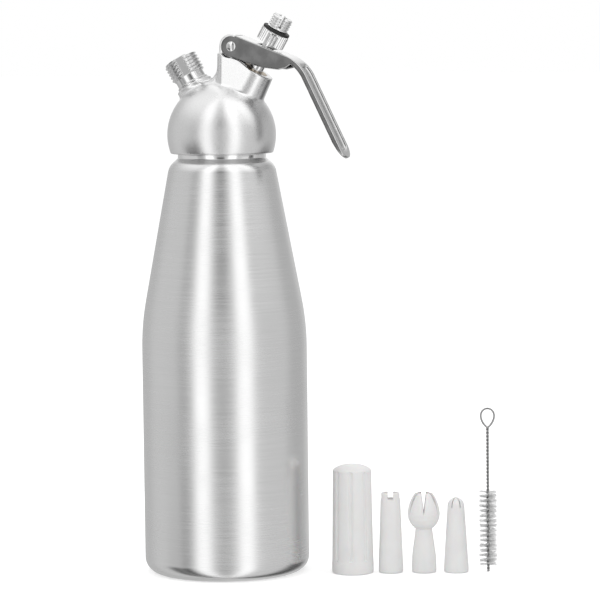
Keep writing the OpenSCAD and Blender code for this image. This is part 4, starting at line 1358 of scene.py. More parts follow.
@dataclass
class Lever:
    """The formed lever: fork with its cheeks, knee, and handle with rolled edges and a dish."""

    width: float = 16.5
    sheet: float = 1.8
    rise: float = 6.76
    reach: float = 41.0
    knee_turn: float = 42.6
    knee_r: float = 24.0
    handle_l: float = 60.5
    depth: float = 3.0
    tip_depth: float = 1.9
    side_from: float = 0.32
    deep_l: float = 11.0
    end_r: float = 6.2
    hole_r: float = 2.25
    back_gap: float = 0.5
    back_edge: float = 0.4
    edge: float = 0.8
    bend: float = 0.5
    under_depth: float = 2.5
    under_from: float = 0.1
    under_back: float = 12.4
    under_past: float = 3.0
    slot_w: float = 8.4
    slot_from: float = 12.9
    slot_to: float = 22.7
    dish_depth: float = 1.6
    dish_w: float = 10.8
    dish_edge: float = 1.5
    dish_end: float = 3.8
    dish_over: float = 3.0
    dish_from: float = 0.4
    dish_deep_from: float = 0.62
    dish_top_end: float = 3.5
    dish_deep_end: float = 4.5
    dish_bend: float = 0.6
    low: Triple = (-6.3, -8.3, -40.0)
    high: Triple = (87.0, 8.3, 6.9)
    cell: float = 0.42

    @property
    def knee_run(self) -> float:
        """Distance from the knee's corner to where its arc starts."""
        return self.knee_r * math.tan(math.radians(self.knee_turn) / 2.0)

    @property
    def centre(self) -> tuple[float, float]:
        """Middle of the knee's arc."""
        return (self.reach - self.knee_run, self.rise - self.knee_r)

    @property
    def run(self) -> float:
        """Length of the straight handle."""
        return self.handle_l - self.knee_run

    def handle_line(self, inset: float, share: float, to: float) -> Profile:
        """A line along the knee and the handle, beneath their outer face.

        Args:
            inset: Its depth under the outer face.
            share: Share of the knee's turn that it starts at.
            to: How far it follows the straight handle.

        Returns:
            Its points.
        """
        start, end = 90.0 - self.knee_turn * share, 90.0 - self.knee_turn
        points = arc(self.centre, self.knee_r - inset, start, end, 16)
        fall = math.radians(self.knee_turn)
        last = points[-1]
        return [*points, (last[0] + to * math.cos(fall), last[1] - to * math.sin(fall))]

    def inner_edge(self) -> Profile:
        """Lower edge of the handle's sides, from the tip back to the cheeks.

        Returns:
            Its points.
        """
        points = self.handle_line(self.depth, self.side_from, self.run - self.deep_l)
        tip = self.handle_line(self.tip_depth, self.side_from, self.run)[-1]
        return [tip, *reversed(points)]

    def cheek_line(self) -> Profile:
        """Lower edge of the cheeks from the pivot to the knee."""
        shares = ((0.3, 0.8), (0.52, 0.68), (0.622, 0.53), (0.756, 0.33), (0.837, 0.015))
        return [(0.0, -0.97 * self.end_r), *((s * self.reach, -d * self.rise) for s, d in shares)]

    def from_middle(self, p: Array, straight: float) -> Array:
        """Distance from the middle line, which ends on the straight handle.

        Args:
            p: Points in the lever's frame.
            straight: Where on the handle it ends.

        Returns:
            The distance, round the end too.
        """
        x, y, z = p.T
        fall = math.radians(self.knee_turn)
        start_x = self.centre[0] + self.knee_r * math.sin(fall)
        start_z = self.centre[1] + self.knee_r * math.cos(fall)
        down = (x - start_x) * math.cos(fall) - (z - start_z) * math.sin(fall)
        past = np.where(x > self.centre[0], np.maximum(down - straight, 0.0), 0.0)
        return np.hypot(past, y)

    def solid(self, p: Array) -> Array:
        """The pressing: a channel with a slotted web, open at its back and dished along its handle.

        Args:
            p: Points in the lever's frame.

        Returns:
            Distance to the lever.
        """
        x, y, z = p.T
        half = self.width / 2.0
        from_middle = self.from_middle(p, self.run - half)
        handle = self.handle_line(0.0, 0.0, self.run)
        side = outline([(0.0, self.rise), *handle, *self.inner_edge(), *reversed(self.cheek_line())])(x, z)
        side = np.minimum(side, np.hypot(x, z) - self.end_r)
        body = slab(side, from_middle - half, self.edge)
        inner_z, low, past_tip = self.rise - self.sheet, -2.0 * self.knee_r, self.run + 1.0
        under = outline(
            [
                (-self.under_back, inner_z),
                (self.slot_to + self.under_past, inner_z),
                *self.handle_line(self.under_depth, self.under_from, past_tip),
                self.handle_line(self.knee_r / 2.0, 0.0, past_tip)[-1],
                (self.centre[0], low),
                (-self.under_back, low),
            ]
        )(x, z)
        body = carved(body, slab(under, from_middle - half + self.sheet, self.edge), self.bend)
        back = np.maximum(x - self.back_gap, np.abs(y) - half + self.sheet)
        body = carved(body, back, self.back_edge)
        slot = np.maximum(between(x, self.slot_from, self.slot_to), np.abs(y) - self.slot_w / 2.0)
        body = carved(body, np.maximum(slot, -z), self.bend)
        over = self.handle_line(-self.dish_over, self.dish_from, self.run - self.dish_top_end)
        bottom = self.handle_line(self.dish_depth, self.dish_deep_from, self.run - self.dish_deep_end)
        dish_half = self.dish_w / 2.0
        dish_side = self.from_middle(p, self.run - self.dish_end - dish_half) - dish_half
        dish = slab(outline([*over, *reversed(bottom)])(x, z), dish_side, self.dish_edge)
        body = carved(body, dish, self.dish_bend)
        return carved(body, np.hypot(x, z) - self.hole_r)

    def build(self) -> None:
        """Meshes the lever and dresses it."""
        skin = Skin.of(self.solid, self.low, self.high, self.cell)
        lever = skinned("lever_pressing", skin, FRAME.fork())
        settle(lever, Body.LEVER, Finishes.LEVER, "lever")


@dataclass
class TipAdapter:
    """The knurled collar with the slotted, threaded tip, and its gasket."""

    collar_r: float = 8.2
    collar_at: float = 58.9
    collar_top: float = 67.0
    collar_lead: float = 0.9
    collar_edge: float = 0.5
    ribs: int = 32
    rib_depth: float = 0.4
    rib_edge: float = 0.15
    gasket_top: float = 68.6
    gasket_r: float = 8.0
    gasket_edge: float = 0.45
    root_r: float = 5.35
    crest_r: float = 6.1
    top: float = 76.6
    pitch: float = 1.6
    lead: float = 0.8
    edge: float = 0.2
    slot_w: float = 1.8
    slot_turn: float = 25.0
    bore_r: float = 2.6
    bore_from: float = 64.9
    socket_r: float = 3.5
    cell: float = 0.2
    gasket_cell: float = 0.22

    def collar(self, off: Array, angle: Array, t: Array) -> Array:
        """The knurled collar.

        Args:
            off: Distance from the valve's axis.
            angle: Angle round it.
            t: Place along it.

        Returns:
            Distance to the collar.
        """
        r, low, high = self.collar_r, self.collar_at, self.collar_top
        lead, edge = self.collar_lead, self.collar_edge
        profile = [
            (0.0, low), (r - lead, low), (r, low + lead), (r, high - edge), (r - edge, high), (0.0, high),
        ]
        turn = (angle * self.ribs / math.tau) % 1.0 - 0.5
        groove = r - self.rib_depth + np.abs(turn) * math.tau * r / self.ribs - off
        return carved(turned(profile)(off, t), -groove * THREAD_EASE, self.rib_edge)

    def solid(self, p: Array) -> Array:
        """The collar and the slotted, threaded tip, with the bore through both.

        Args:
            p: Points in the frame of the valve.

        Returns:
            Distance to the adapter.
        """
        u, y, t = p.T
        off, angle = np.hypot(u, y), np.arctan2(y, u)
        side = thread(off, angle, t, self.root_r, self.crest_r, self.pitch)
        end = off - self.crest_r + np.maximum(t - self.top + self.lead, 0.0)
        side = np.maximum(side, end * THREAD_EASE)
        hub = slab(side, between(t, self.gasket_top, self.top), self.edge)
        core = rods(off, t, [(self.root_r, self.collar_top - 1.0, self.top - 0.5, self.edge)])
        body = np.minimum(np.minimum(self.collar(off, angle, t), hub), core)
        slot_from = self.gasket_top + self.pitch
        cos, sin = math.cos(math.radians(self.slot_turn)), math.sin(math.radians(self.slot_turn))
        for across in (u * cos + y * sin, u * sin - y * cos):
            slot = np.maximum(np.abs(across) - self.slot_w / 2.0, slot_from - t)
            body = carved(body, slot, self.edge)
        body = carved(body, np.maximum(off - self.bore_r, self.bore_from - t), self.edge)
        return carved(body, np.maximum(off - self.socket_r, t - self.bore_from))

    def gasket(self, p: Array) -> Array:
        """Distance to the black ring on the collar, in the frame of the valve."""
        width = between(np.hypot(p[:, 0], p[:, 1]), self.root_r, self.gasket_r)
        return slab(width, between(p[:, 2], self.collar_top, self.gasket_top), self.gasket_edge)

    def build(self) -> None:
        """Meshes both and dresses them."""
        side = self.collar_r + 0.1
        skin = Skin.of(self.solid, (-side, -side, self.collar_at), (side, side, self.top), self.cell)
        adapter = skinned("tip_adapter_body", skin, FRAME.port(1))
        settle(adapter, Body.VALVE, Finishes.ADAPTER, "tip_adapter")
        side = self.gasket_r + 0.1
        low, high = (-side, -side, self.collar_top), (side, side, self.gasket_top)
        ring = skinned("tip_gasket_ring", Skin.of(self.gasket, low, high, self.gasket_cell), FRAME.port(1))
        settle(ring, Body.VALVE, Finishes.RUBBER, "tip_gasket")


@dataclass
class Pivot:
    """The screw with its slotted round head, and the barrel's head on the other side."""

    head_r: float = 2.95
    head_t: float = 1.0
    reach: float = 8.35
    dome_edge: float = 0.3
    slot_w: float = 0.8
    slot_at: float = 0.35
    slot_edge: float = 0.12
    slot_turn: float = 12.0
    shank_r: float = 1.2
    barrel_r: float = 2.2
    barrel_edge: float = 0.35
    screw_cell: float = 0.13
    barrel_cell: float = 0.2

    def screw(self, p: Array) -> Array:
        """The screw: its shank and its domed, slotted head towards -Y.

        Args:
            p: Points in the frame of the pivot.

        Returns:
            Distance to the screw.
        """
        x, y, z = p.T
        off, out = np.hypot(x, z), -y
        turn = math.radians(self.slot_turn)
        dome_r = (self.head_r**2 + self.head_t**2) / (2.0 * self.head_t)
        dome = np.hypot(off, out - self.reach - self.head_t + dome_r) - dome_r
        head = np.maximum(shared(dome, off - self.head_r, self.dome_edge), self.reach - out)
        across = np.abs(x * math.cos(turn) + z * math.sin(turn)) - self.slot_w / 2.0
        head = carved(head, np.maximum(across, self.reach + self.slot_at - out), self.slot_edge)
        shank = np.maximum(off - self.shank_r, between(out, -self.reach / 2.0, self.reach + 0.2))
        return np.minimum(head, shank)

    def barrel(self, p: Array) -> Array:
        """The barrel, bored for the screw, and its head towards +Y.

        Args:
            p: Points in the frame of the pivot.

        Returns:
            Distance to the barrel.
        """
        x, y, z = p.T
        off = np.hypot(x, z)
        rod = np.maximum(off - self.barrel_r, np.abs(y) - self.reach)
        cap = slab(off - self.head_r, between(y, self.reach, self.reach + self.head_t), self.barrel_edge)
        return carved(np.minimum(rod, cap), np.maximum(off - self.shank_r, y - self.reach / 2.0))

    def build(self) -> None:
        """Meshes both and dresses them."""
        place = Matrix.Translation((FRAME.pivot_x, 0.0, FRAME.pivot_z))
        side, top = self.head_r + 0.05, self.reach + self.head_t
        for name, solid, low, high, cell in (
            ("pivot_screw", self.screw, -top, self.reach / 2.0 + 0.125, self.screw_cell),
            ("pivot_barrel", self.barrel, -self.reach - 0.05, top, self.barrel_cell),
        ):
            skin = Skin.of(solid, (-side, low, -side), (side, high, side), cell)
            settle(skinned(f"{name}_body", skin, place), Body.HEAD, Finishes.STEEL, name)


@dataclass
class Stem:
    """The valve's stem with the shoulder that the lever pushes."""

    foot: float = 17.0
    tail_r: float = 3.0
    flange_at: float = 35.0
    flange_t: float = 2.4
    flange_r: float = 5.9
    stem_r: float = 4.0
    push_at: float = 54.6
    push_t: float = 2.4
    push_r: float = 5.7
    neck_r: float = 3.5
    top: float = 64.9
    bore_r: float = 1.8
    port_at: float = 31.0
    port_r: float = 1.0
    cell: float = 0.25

    def solid(self, p: Array) -> Array:
        """The stem, bored from its top to its two cross ports.

        Args:
            p: Points in the frame of the valve.

        Returns:
            Distance to the stem.
        """
        u, y, t = p.T
        off = np.hypot(u, y)
        rows = (
            (self.tail_r, self.foot, self.flange_at + 1.0, 0.3),
            (self.flange_r, self.flange_at, self.flange_at + self.flange_t, 0.3),
            (self.stem_r, self.flange_at, self.push_at, 0.1),
            (self.push_r, self.push_at - self.push_t, self.push_at, 0.45),
            (self.neck_r, self.push_at - 1.0, self.top, 0.2),
        )
        body = carved(rods(off, t, rows), np.maximum(off - self.bore_r, self.port_at - t))
        for side in (u, y):
            body = carved(body, np.hypot(side, t - self.port_at - self.port_r) - self.port_r)
        return body

    def build(self) -> None:
        """Meshes the stem and dresses it."""
        side = self.flange_r + 0.1
        skin = Skin.of(self.solid, (-side, -side, self.foot), (side, side, self.top), self.cell)
        stem = skinned("valve_stem_body", skin, FRAME.port(1))
        settle(stem, Body.VALVE, Finishes.STEEL, "valve_stem")


@dataclass
class Holder:
    """The fluted charger holder with its domed top."""

    height: float = 62.6
    base_r: float = 11.9
    top_r: float = 11.0
    dome_h: float = 3.6
    ring_h: float = 6.0
    bore_r: float = 9.1
    socket_r: float = 10.15
    socket_h: float = 12.0
    socket_lead: float = 0.6
    floor_t: float = 4.0
    flutes: int = 8
    flute_depth: float = 0.95
    flute_share: float = 0.26
    flute_turn: float = -4.0
    flute_from: float = 1.6
    flute_end: float = 0.8
    flute_edge: float = 0.5
    mouth_edge: float = 0.3
    cell: float = 0.42

    def outer(self) -> Profile:
        """Outline of the outside without its flutes.

        Returns:
            Its (radius, height) points.
        """
        dome_z = self.height - self.dome_h
        shares = (
            (1.0, 0.0), (0.97, 0.16), (0.87, 0.42), (0.74, 0.63), (0.6, 0.8), (0.45, 0.9), (0.3, 0.96),
        )
        dome = [(s * self.top_r, dome_z + h * self.dome_h) for s, h in shares]
        ring = [(self.base_r, self.ring_h), (self.base_r - 0.15, self.ring_h + 0.9)]
        return [*rounded_foot(self.base_r), *ring, *dome, (0.0, self.height)]

    def hollow(self) -> Profile:
        """Outline of the inside: the threaded socket's room and the charger's.

        Returns:
            Its (radius, height) points.
        """
        r, roof, step = self.bore_r, self.height - self.floor_t, self.socket_h
        return [
            (0.0, -1.0), (self.socket_r, -1.0), (self.socket_r, step), (r, step + self.socket_lead),
            (r, roof - 1.6 * self.dome_h), (0.6 * r, roof - 0.4 * self.dome_h), (0.0, roof),
        ]

    def flute(self, off: Array, angle: Array, z: Array) -> Array:
        """The rods that the flutes are cut with, one for each.

        Args:
            off: Distance from the holder's axis.
            angle: Angle round it.
            z: Height.

        Returns:
            Distance to the nearest of them.
        """
        middle, dome_z = (self.base_r + self.top_r) / 2.0, self.height - self.dome_h
        half_turn = math.radians(180.0 * self.flute_share / self.flutes)
        half = middle * math.sin(half_turn)
        rise = middle * math.cos(half_turn) - middle + self.flute_depth
        flute_r = (half * half + rise * rise) / (2.0 * rise)
        step = math.tau / self.flutes
        turn = (angle - math.radians(self.flute_turn) + step / 2.0) % step - step / 2.0
        away = self.base_r - (self.base_r - self.top_r) / dome_z * z + flute_r - self.flute_depth
        side = np.hypot(off * np.cos(turn) - away, off * np.sin(turn)) - flute_r
        return slab(side, between(z, self.ring_h + self.flute_from, dome_z), self.flute_end)

    def solid(self, p: Array) -> Array:
        """The fluted cap over its hollow.

        Args:
            p: Points in the holder's frame.

        Returns:
            Distance to the holder.
        """
        x, y, z = p.T
        off = np.hypot(x, y)
        body = carved(turned(self.outer())(off, z), self.flute(off, np.arctan2(y, x), z), self.flute_edge)
        return carved(body, turned(self.hollow())(off, z), self.mouth_edge)

    def build(self) -> None:
        """Meshes the holder and dresses it."""
        side = self.base_r + 0.6
        skin = Skin.of(self.solid, (-side, -side, 0.0), (side, side, self.height), self.cell)
        holder = skinned("charger_holder_body", skin, FRAME.stand(0))
        settle(holder, Body.HOLDER, Finishes.PLASTIC, "charger_holder")


@dataclass
class Nozzles:
    """The straight, the tulip and the round nozzle."""

    base_r: float = 7.0
    ring_h: float = 3.2
    socket_r: float = 6.25
    socket_h: float = 9.0
    thread_h: float = 0.6
    thread_flat: float = 0.2
    thread_ease: float = 0.8
    pitch: float = 1.6
    bore_r: float = 3.0
    bore_from: float = 8.0
    wall: float = 1.5
    edge: float = 0.2
    slot_edge: float = 0.4
    straight_l: float = 46.0
    straight_top_r: float = 5.5
    crown_edge: float = 0.5
    crown_h: float = 9.0
    notch_w: float = 3.0
    notch_h: float = 3.4
    tulip_l: float = 45.8
    tulip_r: float = 9.2
    tulip_h: float = 20.4
    tulip_neck_r: float = 4.7
    socket_wall: float = 0.55
    waist_lead: float = 0.6
    cup_floor: float = 0.8
    petal_share: float = 0.57
    petal_gap: float = 1.5
    petal_edge: float = 0.3
    round_l: float = 43.0
    round_top_r: float = 4.8
    slit_w: float = 0.54
    slit_drop: float = 0.8
    slit_edge: float = 0.12
    cell: float = 0.36
    round_cell: float = 0.27

    def foot(self) -> Profile:
        """Rounded lower edge and ring that every nozzle starts with."""
        return [*rounded_foot(self.base_r), (self.base_r, self.ring_h)]

    def hollow(self, off: Array, z: Array, top: float) -> Array:
        """The threaded socket and the bore above it.

        Args:
            off: Distance from the nozzle's axis.
            z: Height.
            top: Height that the bore reaches.

        Returns:
            Distance to the hollow.
        """
        crests = tooth(z / self.pitch, self.thread_flat) * self.thread_h
        crests *= (z > self.pitch) * (z < self.socket_h - self.pitch)
        socket = np.maximum((off - self.socket_r + crests) * self.thread_ease, z - self.socket_h)
        return np.minimum(socket, np.maximum(off - self.bore_r, z - top))

    def straight(self, p: Array) -> Array:
        """The straight nozzle, with four notches in its crown.

        Args:
            p: Points in the nozzle's frame.

        Returns:
            Distance to the nozzle.
        """
        x, y, z = p.T
        off = np.hypot(x, y)
        r, top, edge = self.straight_top_r, self.straight_l, self.crown_edge
        body = turned([*self.foot(), (r, top - edge), (r - edge, top), (0.0, top)])(off, z)
        body = carved(body, self.hollow(off, z, top + 5.0), self.edge)
        body = carved(body, np.maximum(off - r + self.wall, top - self.crown_h - z), self.slot_edge)
        for side in (x, y):
            notch = np.maximum(np.abs(side) - self.notch_w / 2.0, top - self.notch_h - z)
            body = carved(body, notch, self.slot_edge)
        return body

    def tulip(self, p: Array) -> Array:
        """The tulip nozzle, with six pointed slots between its petals.

        Args:
            p: Points in the nozzle's frame.

        Returns:
            Distance to the nozzle.
        """
        x, y, z = p.T
        off = np.hypot(x, y)
        top, height, floor = self.tulip_l, self.tulip_h, self.cup_floor
        foot_z, over = top - height, top + 2.0
        shares = (
            (0.6, 0.02), (0.82, 0.13), (0.96, 0.27), (1.0, 0.4), (0.97, 0.53), (0.9, 0.67), (0.8, 0.79),
            (0.68, 0.9), (0.52, 1.0),
        )
        outer = [(s * self.tulip_r, foot_z + h * height) for s, h in shares]
        inner = [(s * self.tulip_r - self.wall, foot_z + floor + h * (height - floor)) for s, h in shares]
        waist = (self.socket_r + self.socket_wall, self.socket_h + self.waist_lead)
        neck = (self.tulip_neck_r, foot_z)
        body = turned([*self.foot(), waist, neck, *outer, (0.0, top)])(off, z)
        cup = turned([(0.0, foot_z), *inner, (inner[-1][0], over), (0.0, over)])(off, z)
        body = carved(body, np.minimum(self.hollow(off, z, foot_z + 1.0), cup), self.petal_edge)
        apex = top - self.petal_share * height
        flank = self.petal_gap / (top + 1.0 - apex)
        for turn in (30.0, 90.0, 150.0):
            side = self.beside(x, y, turn)
            body = carved(body, np.maximum(side - (z - apex) * flank, apex - z), self.petal_edge)
        return body

    def round(self, p: Array) -> Array:
        """The round nozzle, with fine slits in its dome.

        Args:
            p: Points in the nozzle's frame.

        Returns:
            Distance to the nozzle.
        """
        x, y, z = p.T
        off = np.hypot(x, y)
        r, top = self.round_top_r, self.round_l
        body = turned([*self.foot(), *arc((0.0, top - r), r, 4.0, 86.0, 12), (0.0, top)])(off, z)
        over = z - top + r
        bore = np.minimum(np.maximum(off - self.bore_r, over), np.hypot(off, over) - self.bore_r)
        bore = np.maximum(bore, self.bore_from - z)
        body = carved(body, np.minimum(self.hollow(off, z, top - self.crown_h), bore), self.edge)
        for turn in (0.0, 60.0, 120.0):
            side = self.beside(x, y, turn) - self.slit_w / 2.0
            body = carved(body, np.maximum(side, -self.slit_drop - over), self.slit_edge)
        return body

    @staticmethod
    def beside(x: Array, y: Array, turn: float) -> Array:
        """Distance from the upright plane that stands at an angle in degrees."""
        return np.abs(y * math.cos(math.radians(turn)) - x * math.sin(math.radians(turn)))

    def build(self) -> None:
        """Meshes the three nozzles and dresses them."""
        made = (
            ("straight_nozzle", self.straight, self.base_r, self.straight_l, Body.STRAIGHT, self.cell),
            ("tulip_nozzle", self.tulip, self.tulip_r, self.tulip_l, Body.TULIP, self.cell),
            ("round_nozzle", self.round, self.base_r, self.round_l, Body.ROUND, self.round_cell),
        )
        for place, (name, solid, r, top, body, cell) in enumerate(made, 1):
            skin = Skin.of(solid, (-r, -r, 0.0), (r, r, top), cell)
            settle(skinned(f"{name}_body", skin, FRAME.stand(place)), body, Finishes.PLASTIC, name)


@dataclass
class Brush:
    """The cleaning brush: two twisted strands that end in a loop, and bristles held between them."""

    height: float = 94.4
    foot: float = 0.3
    loop_h: float = 11.4
    loop_w: float = 8.6
    loop_r: float = 0.52
    loop_open: float = 0.03
    loop_pinch: float = 0.6
    loop_swell: float = 0.84
    strand_r: float = 0.44
    strand_points: int = 420
    loop_points: int = 90
    wire_sides: int = 10
    twist: float = 4.1
    bristle_from: float = 4.0
    bristle_l: float = 42.5
    bristle_r: float = 5.2
    filaments: int = 1300
    filament_r: float = 0.075
    filament_sides: int = 3
    filament_points: int = 5
    filament_foot: float = 0.2
    turns: float = 7.5
    tuft_spread: float = 0.3
    bend: float = 0.12
    lift: float = 0.35
    trim: tuple[float, float] = (0.93, 0.995)
    seed: int = 7

    def strand(self, phase: float) -> Array:
        """Middle line of one strand up to the loop's foot.

        Args:
            phase: Angle that it starts at.

        Returns:
            Its points in mm.
        """
        z = np.linspace(self.foot, self.height - self.loop_h, self.strand_points)
        angle = math.tau * z / self.twist + phase
        return np.stack([self.strand_r * np.cos(angle), self.strand_r * np.sin(angle), z], 1)

    def loop(self) -> Array:
        """Middle line of the loop, a teardrop above the strands.

        Returns:
            Its points in mm.
        """
        a = math.tau * np.linspace(self.loop_open, 1.0 - self.loop_open, self.loop_points)
        half = (self.loop_w / 2.0 - self.loop_r) / self.loop_swell
        x = half * np.sin(a) * np.sin(a / 2.0) ** self.loop_pinch
        z = self.height - self.loop_h + (self.loop_h - self.loop_r) * (1.0 - np.cos(a)) / 2.0
        return np.stack([x, np.zeros_like(x), z], 1)

    def wire(self) -> bpy.types.Object:
        """Draws both strands and the loop.

        Returns:
            One object of the three.
        """
        parts = [tube(self.strand(phase), self.strand_r, self.wire_sides) for phase in (0.0, math.pi)]
        parts.append(tube(self.loop(), self.loop_r, self.wire_sides))
        return bundle("brush_wire_strands", parts)

    def bristles(self) -> bpy.types.Object:
        """Draws filaments through the wire, wound as a spiral of tufts.

        Returns:
            One object of all filaments.
        """
        draw = np.random.default_rng(self.seed)
        along = np.linspace(-1.0, 1.0, self.filament_points)
        parts = []
        for i in range(self.filaments):
            share = (i + 0.5) / self.filaments
            angle = math.tau * self.turns * share + draw.normal(0.0, self.tuft_spread)
            z = self.bristle_from + self.bristle_l * share + draw.normal(0.0, self.bend)
            reach = self.bristle_r * draw.uniform(*self.trim)
            lift = draw.normal(0.0, self.lift)
            sideways, upwards = draw.normal(0.0, self.bend, 2)
            cos, sin, out, aside = math.cos(angle), math.sin(angle), along * reach, sideways * along**2
            rise = np.clip(z + lift * along + upwards * along**2, self.filament_foot, None)
            path = np.stack([out * cos - aside * sin, out * sin + aside * cos, rise], 1)
            parts.append(tube(path, self.filament_r, self.filament_sides))
        return bundle("brush_filaments", parts)

    def build(self) -> None:
        """Draws both and dresses them."""
        place = FRAME.stand(4)
        place.translation *= MM
        for obj, finish, node in (
            (self.wire(), Finishes.WIRE, "brush_wire"),
            (self.bristles(), Finishes.BRISTLE, "brush_bristles"),
        ):
            obj.data.transform(place)
            settle(obj, Body.BRUSH, finish, node)


class CarriedParts:
    """Small solids whose CAD shape is right, which only get their finish."""

    FINISHES = {
        "head_gasket": Finishes.RUBBER,
        "inlet_washer": Finishes.STEEL,
        "piercing_pin": Finishes.STEEL,
        "charger_seal": Finishes.SEAL,
        "check_sleeve": Finishes.RUBBER,
        "valve_guide": Finishes.BRASS,
        "guide_oring": Finishes.RUBBER,
        "valve_spring": Finishes.SPRING,
        "valve_disc": Finishes.SEAL,
        "valve_nut": Finishes.BRASS,
    }

    def dress(self, frame: dict) -> None:
        """Sets the material of each node.

        Args:
            frame: The loaded frame.
        """
        for node, finish in self.FINISHES.items():
            obj = frame["nodes"][node]
            obj.data.materials.clear()
            obj.data.materials.append(finish.material())
            LOG.info("%s: keeps its CAD shape, %s", node, finish.name)


@dataclass(frozen=True)
class Strip:
    """One soft-edged upright card or lamp of the studio, as metal sees it.

    Its gain is what it adds to the wall's light; low and high add to that below and above.
    """

    azimuth: float
    half: float
    soft: float
    gain: float
    low: float = 0.0
    high: float = 0.0


def photo_axes() -> tuple[Vector, Vector]:
    """Level directions from the object towards the photograph's viewpoint, and to the picture's right."""
    turn = math.radians(PHOTO_TURN)
    return Vector((math.sin(turn), -math.cos(turn), 0.0)), Vector((math.cos(turn), math.sin(turn), 0.0))


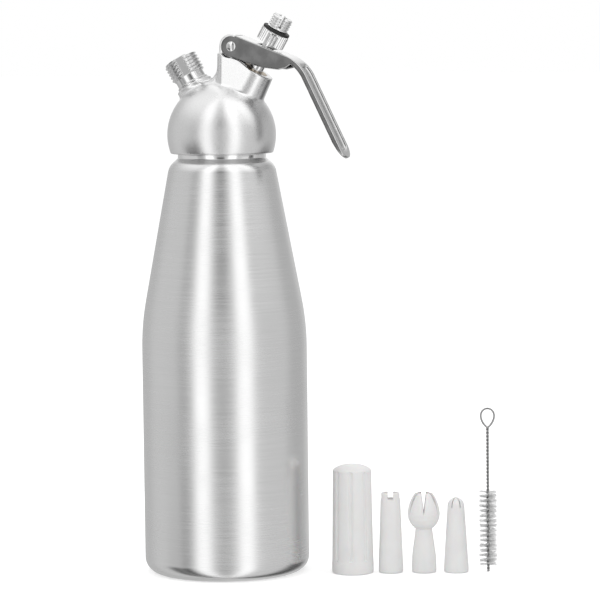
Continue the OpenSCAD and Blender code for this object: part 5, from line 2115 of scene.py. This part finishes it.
@dataclass
class Studio:
    """Pale floor, white backdrop and plain soft light."""

    floor_size: float = 60.0
    floor_albedo: float = 0.86
    floor_lift: float = 0.44
    plain_light: float = 0.72
    wall_light: float = 0.7
    top_light: float = 0.38
    back_light: float = 0.5
    ceiling_from: tuple[float, float] = (0.3, 0.8)
    back_from: tuple[float, float] = (155.0, 172.0)
    back_foot: tuple[float, float] = (0.0, 0.12)
    sunk_from: tuple[float, float] = (-0.42, -0.15)
    raised_from: tuple[float, float] = (0.2, 0.5)
    aim: Triple = (0.05, 0.0, 0.12)
    lamps: tuple[tuple[str, Triple, float, float], ...] = (
        ("key_lamp", (-1.1, -1.2, 1.3), 1.2, 8.0),
        ("fill_lamp", (1.7, -0.9, 1.1), 1.4, 6.0),
        ("top_lamp", (0.2, 0.4, 1.9), 1.5, 6.0),
    )
    strips: tuple[Strip, ...] = (
        Strip(-31.5, 6.0, 9.0, 0.8),
        Strip(29.5, 6.0, 10.0, 0.8),
        Strip(-58.0, 4.0, 9.0, -0.22, low=-0.5),
        Strip(-2.0, 6.0, 9.0, -0.2, low=-0.05, high=-0.5),
        Strip(124.0, 12.0, 20.0, -0.16, low=-0.45, high=-0.22),
        Strip(75.0, 10.0, 14.0, 0.0, high=0.4),
        Strip(-150.0, 14.0, 24.0, -0.12),
        Strip(-80.0, 4.0, 12.0, 0.0, low=-0.6),
    )

    def room(self, nodes: Tree) -> bpy.types.NodeSocket:
        """Works out how bright the room of cards and lamps is in each direction.

        Args:
            nodes: The world's tree.

        Returns:
            The room's strength.
        """
        ahead, right = photo_axes()
        where = nodes.add("ShaderNodeTexCoord").outputs["Generated"]
        sides = [
            nodes.add("ShaderNodeVectorMath", {0: where, 1: axis}, operation="DOT_PRODUCT").outputs["Value"]
            for axis in (right, ahead)
        ]
        azimuth = nodes.math("MULTIPLY", nodes.math("ARCTAN2", *sides), math.degrees(1.0))
        up = nodes.add("ShaderNodeSeparateXYZ", {0: where}).outputs["Z"]
        ceiling = nodes.ramp(up, *self.ceiling_from, 0.0, self.top_light)
        level = nodes.math("ADD", ceiling, self.wall_light)
        back = nodes.ramp(nodes.math("ABSOLUTE", azimuth), *self.back_from, 0.0, self.back_light)
        level = nodes.math("MULTIPLY_ADD", back, nodes.ramp(up, *self.back_foot), level)
        sunk, raised = nodes.ramp(up, *self.sunk_from, 1.0, 0.0), nodes.ramp(up, *self.raised_from)
        for card in self.strips:
            off = nodes.math("ABSOLUTE", nodes.math("SUBTRACT", azimuth, card.azimuth))
            gain = nodes.math("MULTIPLY_ADD", sunk, card.low, card.gain)
            gain = nodes.math("MULTIPLY_ADD", raised, card.high, gain)
            near = nodes.ramp(off, card.half, card.half + card.soft, 1.0, 0.0)
            level = nodes.math("MULTIPLY_ADD", near, gain, level)
        return level

    def world(self) -> None:
        """A white backdrop for the camera, the room for gloss, plain light for the rest."""
        world = bpy.data.worlds.new("studio")
        bpy.context.scene.world = world
        nodes = Tree.of(world)
        path = nodes.add("ShaderNodeLightPath").outputs
        shiny = nodes.math("MAXIMUM", path["Is Glossy Ray"], path["Is Transmission Ray"])
        plain, room, white = (
            nodes.add("ShaderNodeBackground", {"Color": grey(1.0), "Strength": strength}).outputs[0]
            for strength in (self.plain_light, self.room(nodes), 1.0)
        )
        seen = nodes.add("ShaderNodeMixShader", {0: shiny, 1: plain, 2: room}).outputs[0]
        shown = nodes.add("ShaderNodeMixShader", {0: path["Is Camera Ray"], 1: seen, 2: white})
        nodes.add("ShaderNodeOutputWorld", {"Surface": shown.outputs[0]})

    def floor(self) -> None:
        """A pale floor that keeps the object's shadow."""
        half = self.floor_size / MM / 2.0
        corners = np.array([(-half, -half, 0.0), (half, -half, 0.0), (half, half, 0.0), (-half, half, 0.0)])
        floor = new_object("studio_floor", corners, [(0, 1, 2, 3)])
        made = bpy.data.materials.new("studio_floor")
        nodes = Tree.of(made)
        matt = nodes.add("ShaderNodeBsdfDiffuse", {"Color": grey(self.floor_albedo)}).outputs[0]
        path = nodes.add("ShaderNodeLightPath")
        lift = nodes.math("MULTIPLY", path.outputs["Is Camera Ray"], self.floor_lift)
        glow = nodes.add("ShaderNodeEmission", {"Color": grey(1.0), "Strength": lift}).outputs[0]
        both = nodes.add("ShaderNodeAddShader", {0: matt, 1: glow}).outputs[0]
        nodes.add("ShaderNodeOutputMaterial", {"Surface": both})
        floor.data.materials.append(made)
        floor.visible_glossy = False
        floor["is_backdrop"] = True

    def lamp(self, name: str, place: Vector, size: float, power: float) -> None:
        """Adds a soft square lamp that metal doesn't see.

        Args:
            name: Its name.
            place: Where it hangs, in metres.
            size: Its side, in metres.
            power: Its power in watts.
        """
        light = bpy.data.lights.new(name, "AREA")
        light.energy, light.size = power, size
        obj = bpy.data.objects.new(name, light)
        bpy.context.scene.collection.objects.link(obj)
        obj.location = place
        obj.rotation_euler = (Vector(self.aim) - place).to_track_quat("-Z", "Y").to_euler()
        obj.visible_glossy = False

    def build(self) -> None:
        """Sets up the lamps, the world and the floor."""
        for name, place, size, power in self.lamps:
            self.lamp(name, Vector(place), size, power)
        self.world()
        self.floor()


@dataclass
class PhotoCamera:
    """The camera at the photograph's viewing angle."""

    distance: float = 1.74
    height: float = 0.3
    aim_right: float = 0.04357
    aim_height: float = 0.15585
    lens: float = 182.85
    sensor: float = 36.0
    clip: tuple[float, float] = (0.05, 100.0)
    roll: float = -0.668

    def build(self) -> None:
        """Places the camera and makes it the scene's."""
        towards, right = photo_axes()
        aim = right * self.aim_right + Vector((0.0, 0.0, self.aim_height))
        place = right * self.aim_right + towards * self.distance + Vector((0.0, 0.0, self.height))
        data = bpy.data.cameras.new("photo_camera")
        data.lens, data.sensor_width = self.lens, self.sensor
        data.clip_start, data.clip_end = self.clip
        camera = bpy.data.objects.new("photo_camera", data)
        bpy.context.scene.collection.objects.link(camera)
        look = (aim - place).to_track_quat("-Z", "Y").to_matrix().to_4x4()
        roll = Matrix.Rotation(math.radians(self.roll), 4, "Z")
        camera.matrix_world = Matrix.Translation(place) @ look @ roll
        bpy.context.scene.camera = camera


def corners() -> list[list[float]]:
    """The shown object's lowest and highest corner."""
    return [list(map(float, corner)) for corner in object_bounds()]


def main() -> None:
    """Loads the frame, builds and dresses every piece, and sets up the studio."""
    logging.basicConfig(level=logging.INFO, format="%(name)s: %(message)s")
    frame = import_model()
    bpy.context.scene.view_settings.view_transform = "Standard"
    PhotoCamera().build()
    for assembly in (
        Bottle(), Head(), ChargerStub(), Lever(), TipAdapter(), Pivot(), Stem(),
        Holder(), Nozzles(), Brush(),
    ):
        assembly.build()
    CarriedParts().dress(frame)
    Studio().build()


if __name__ == "__main__":
    main()
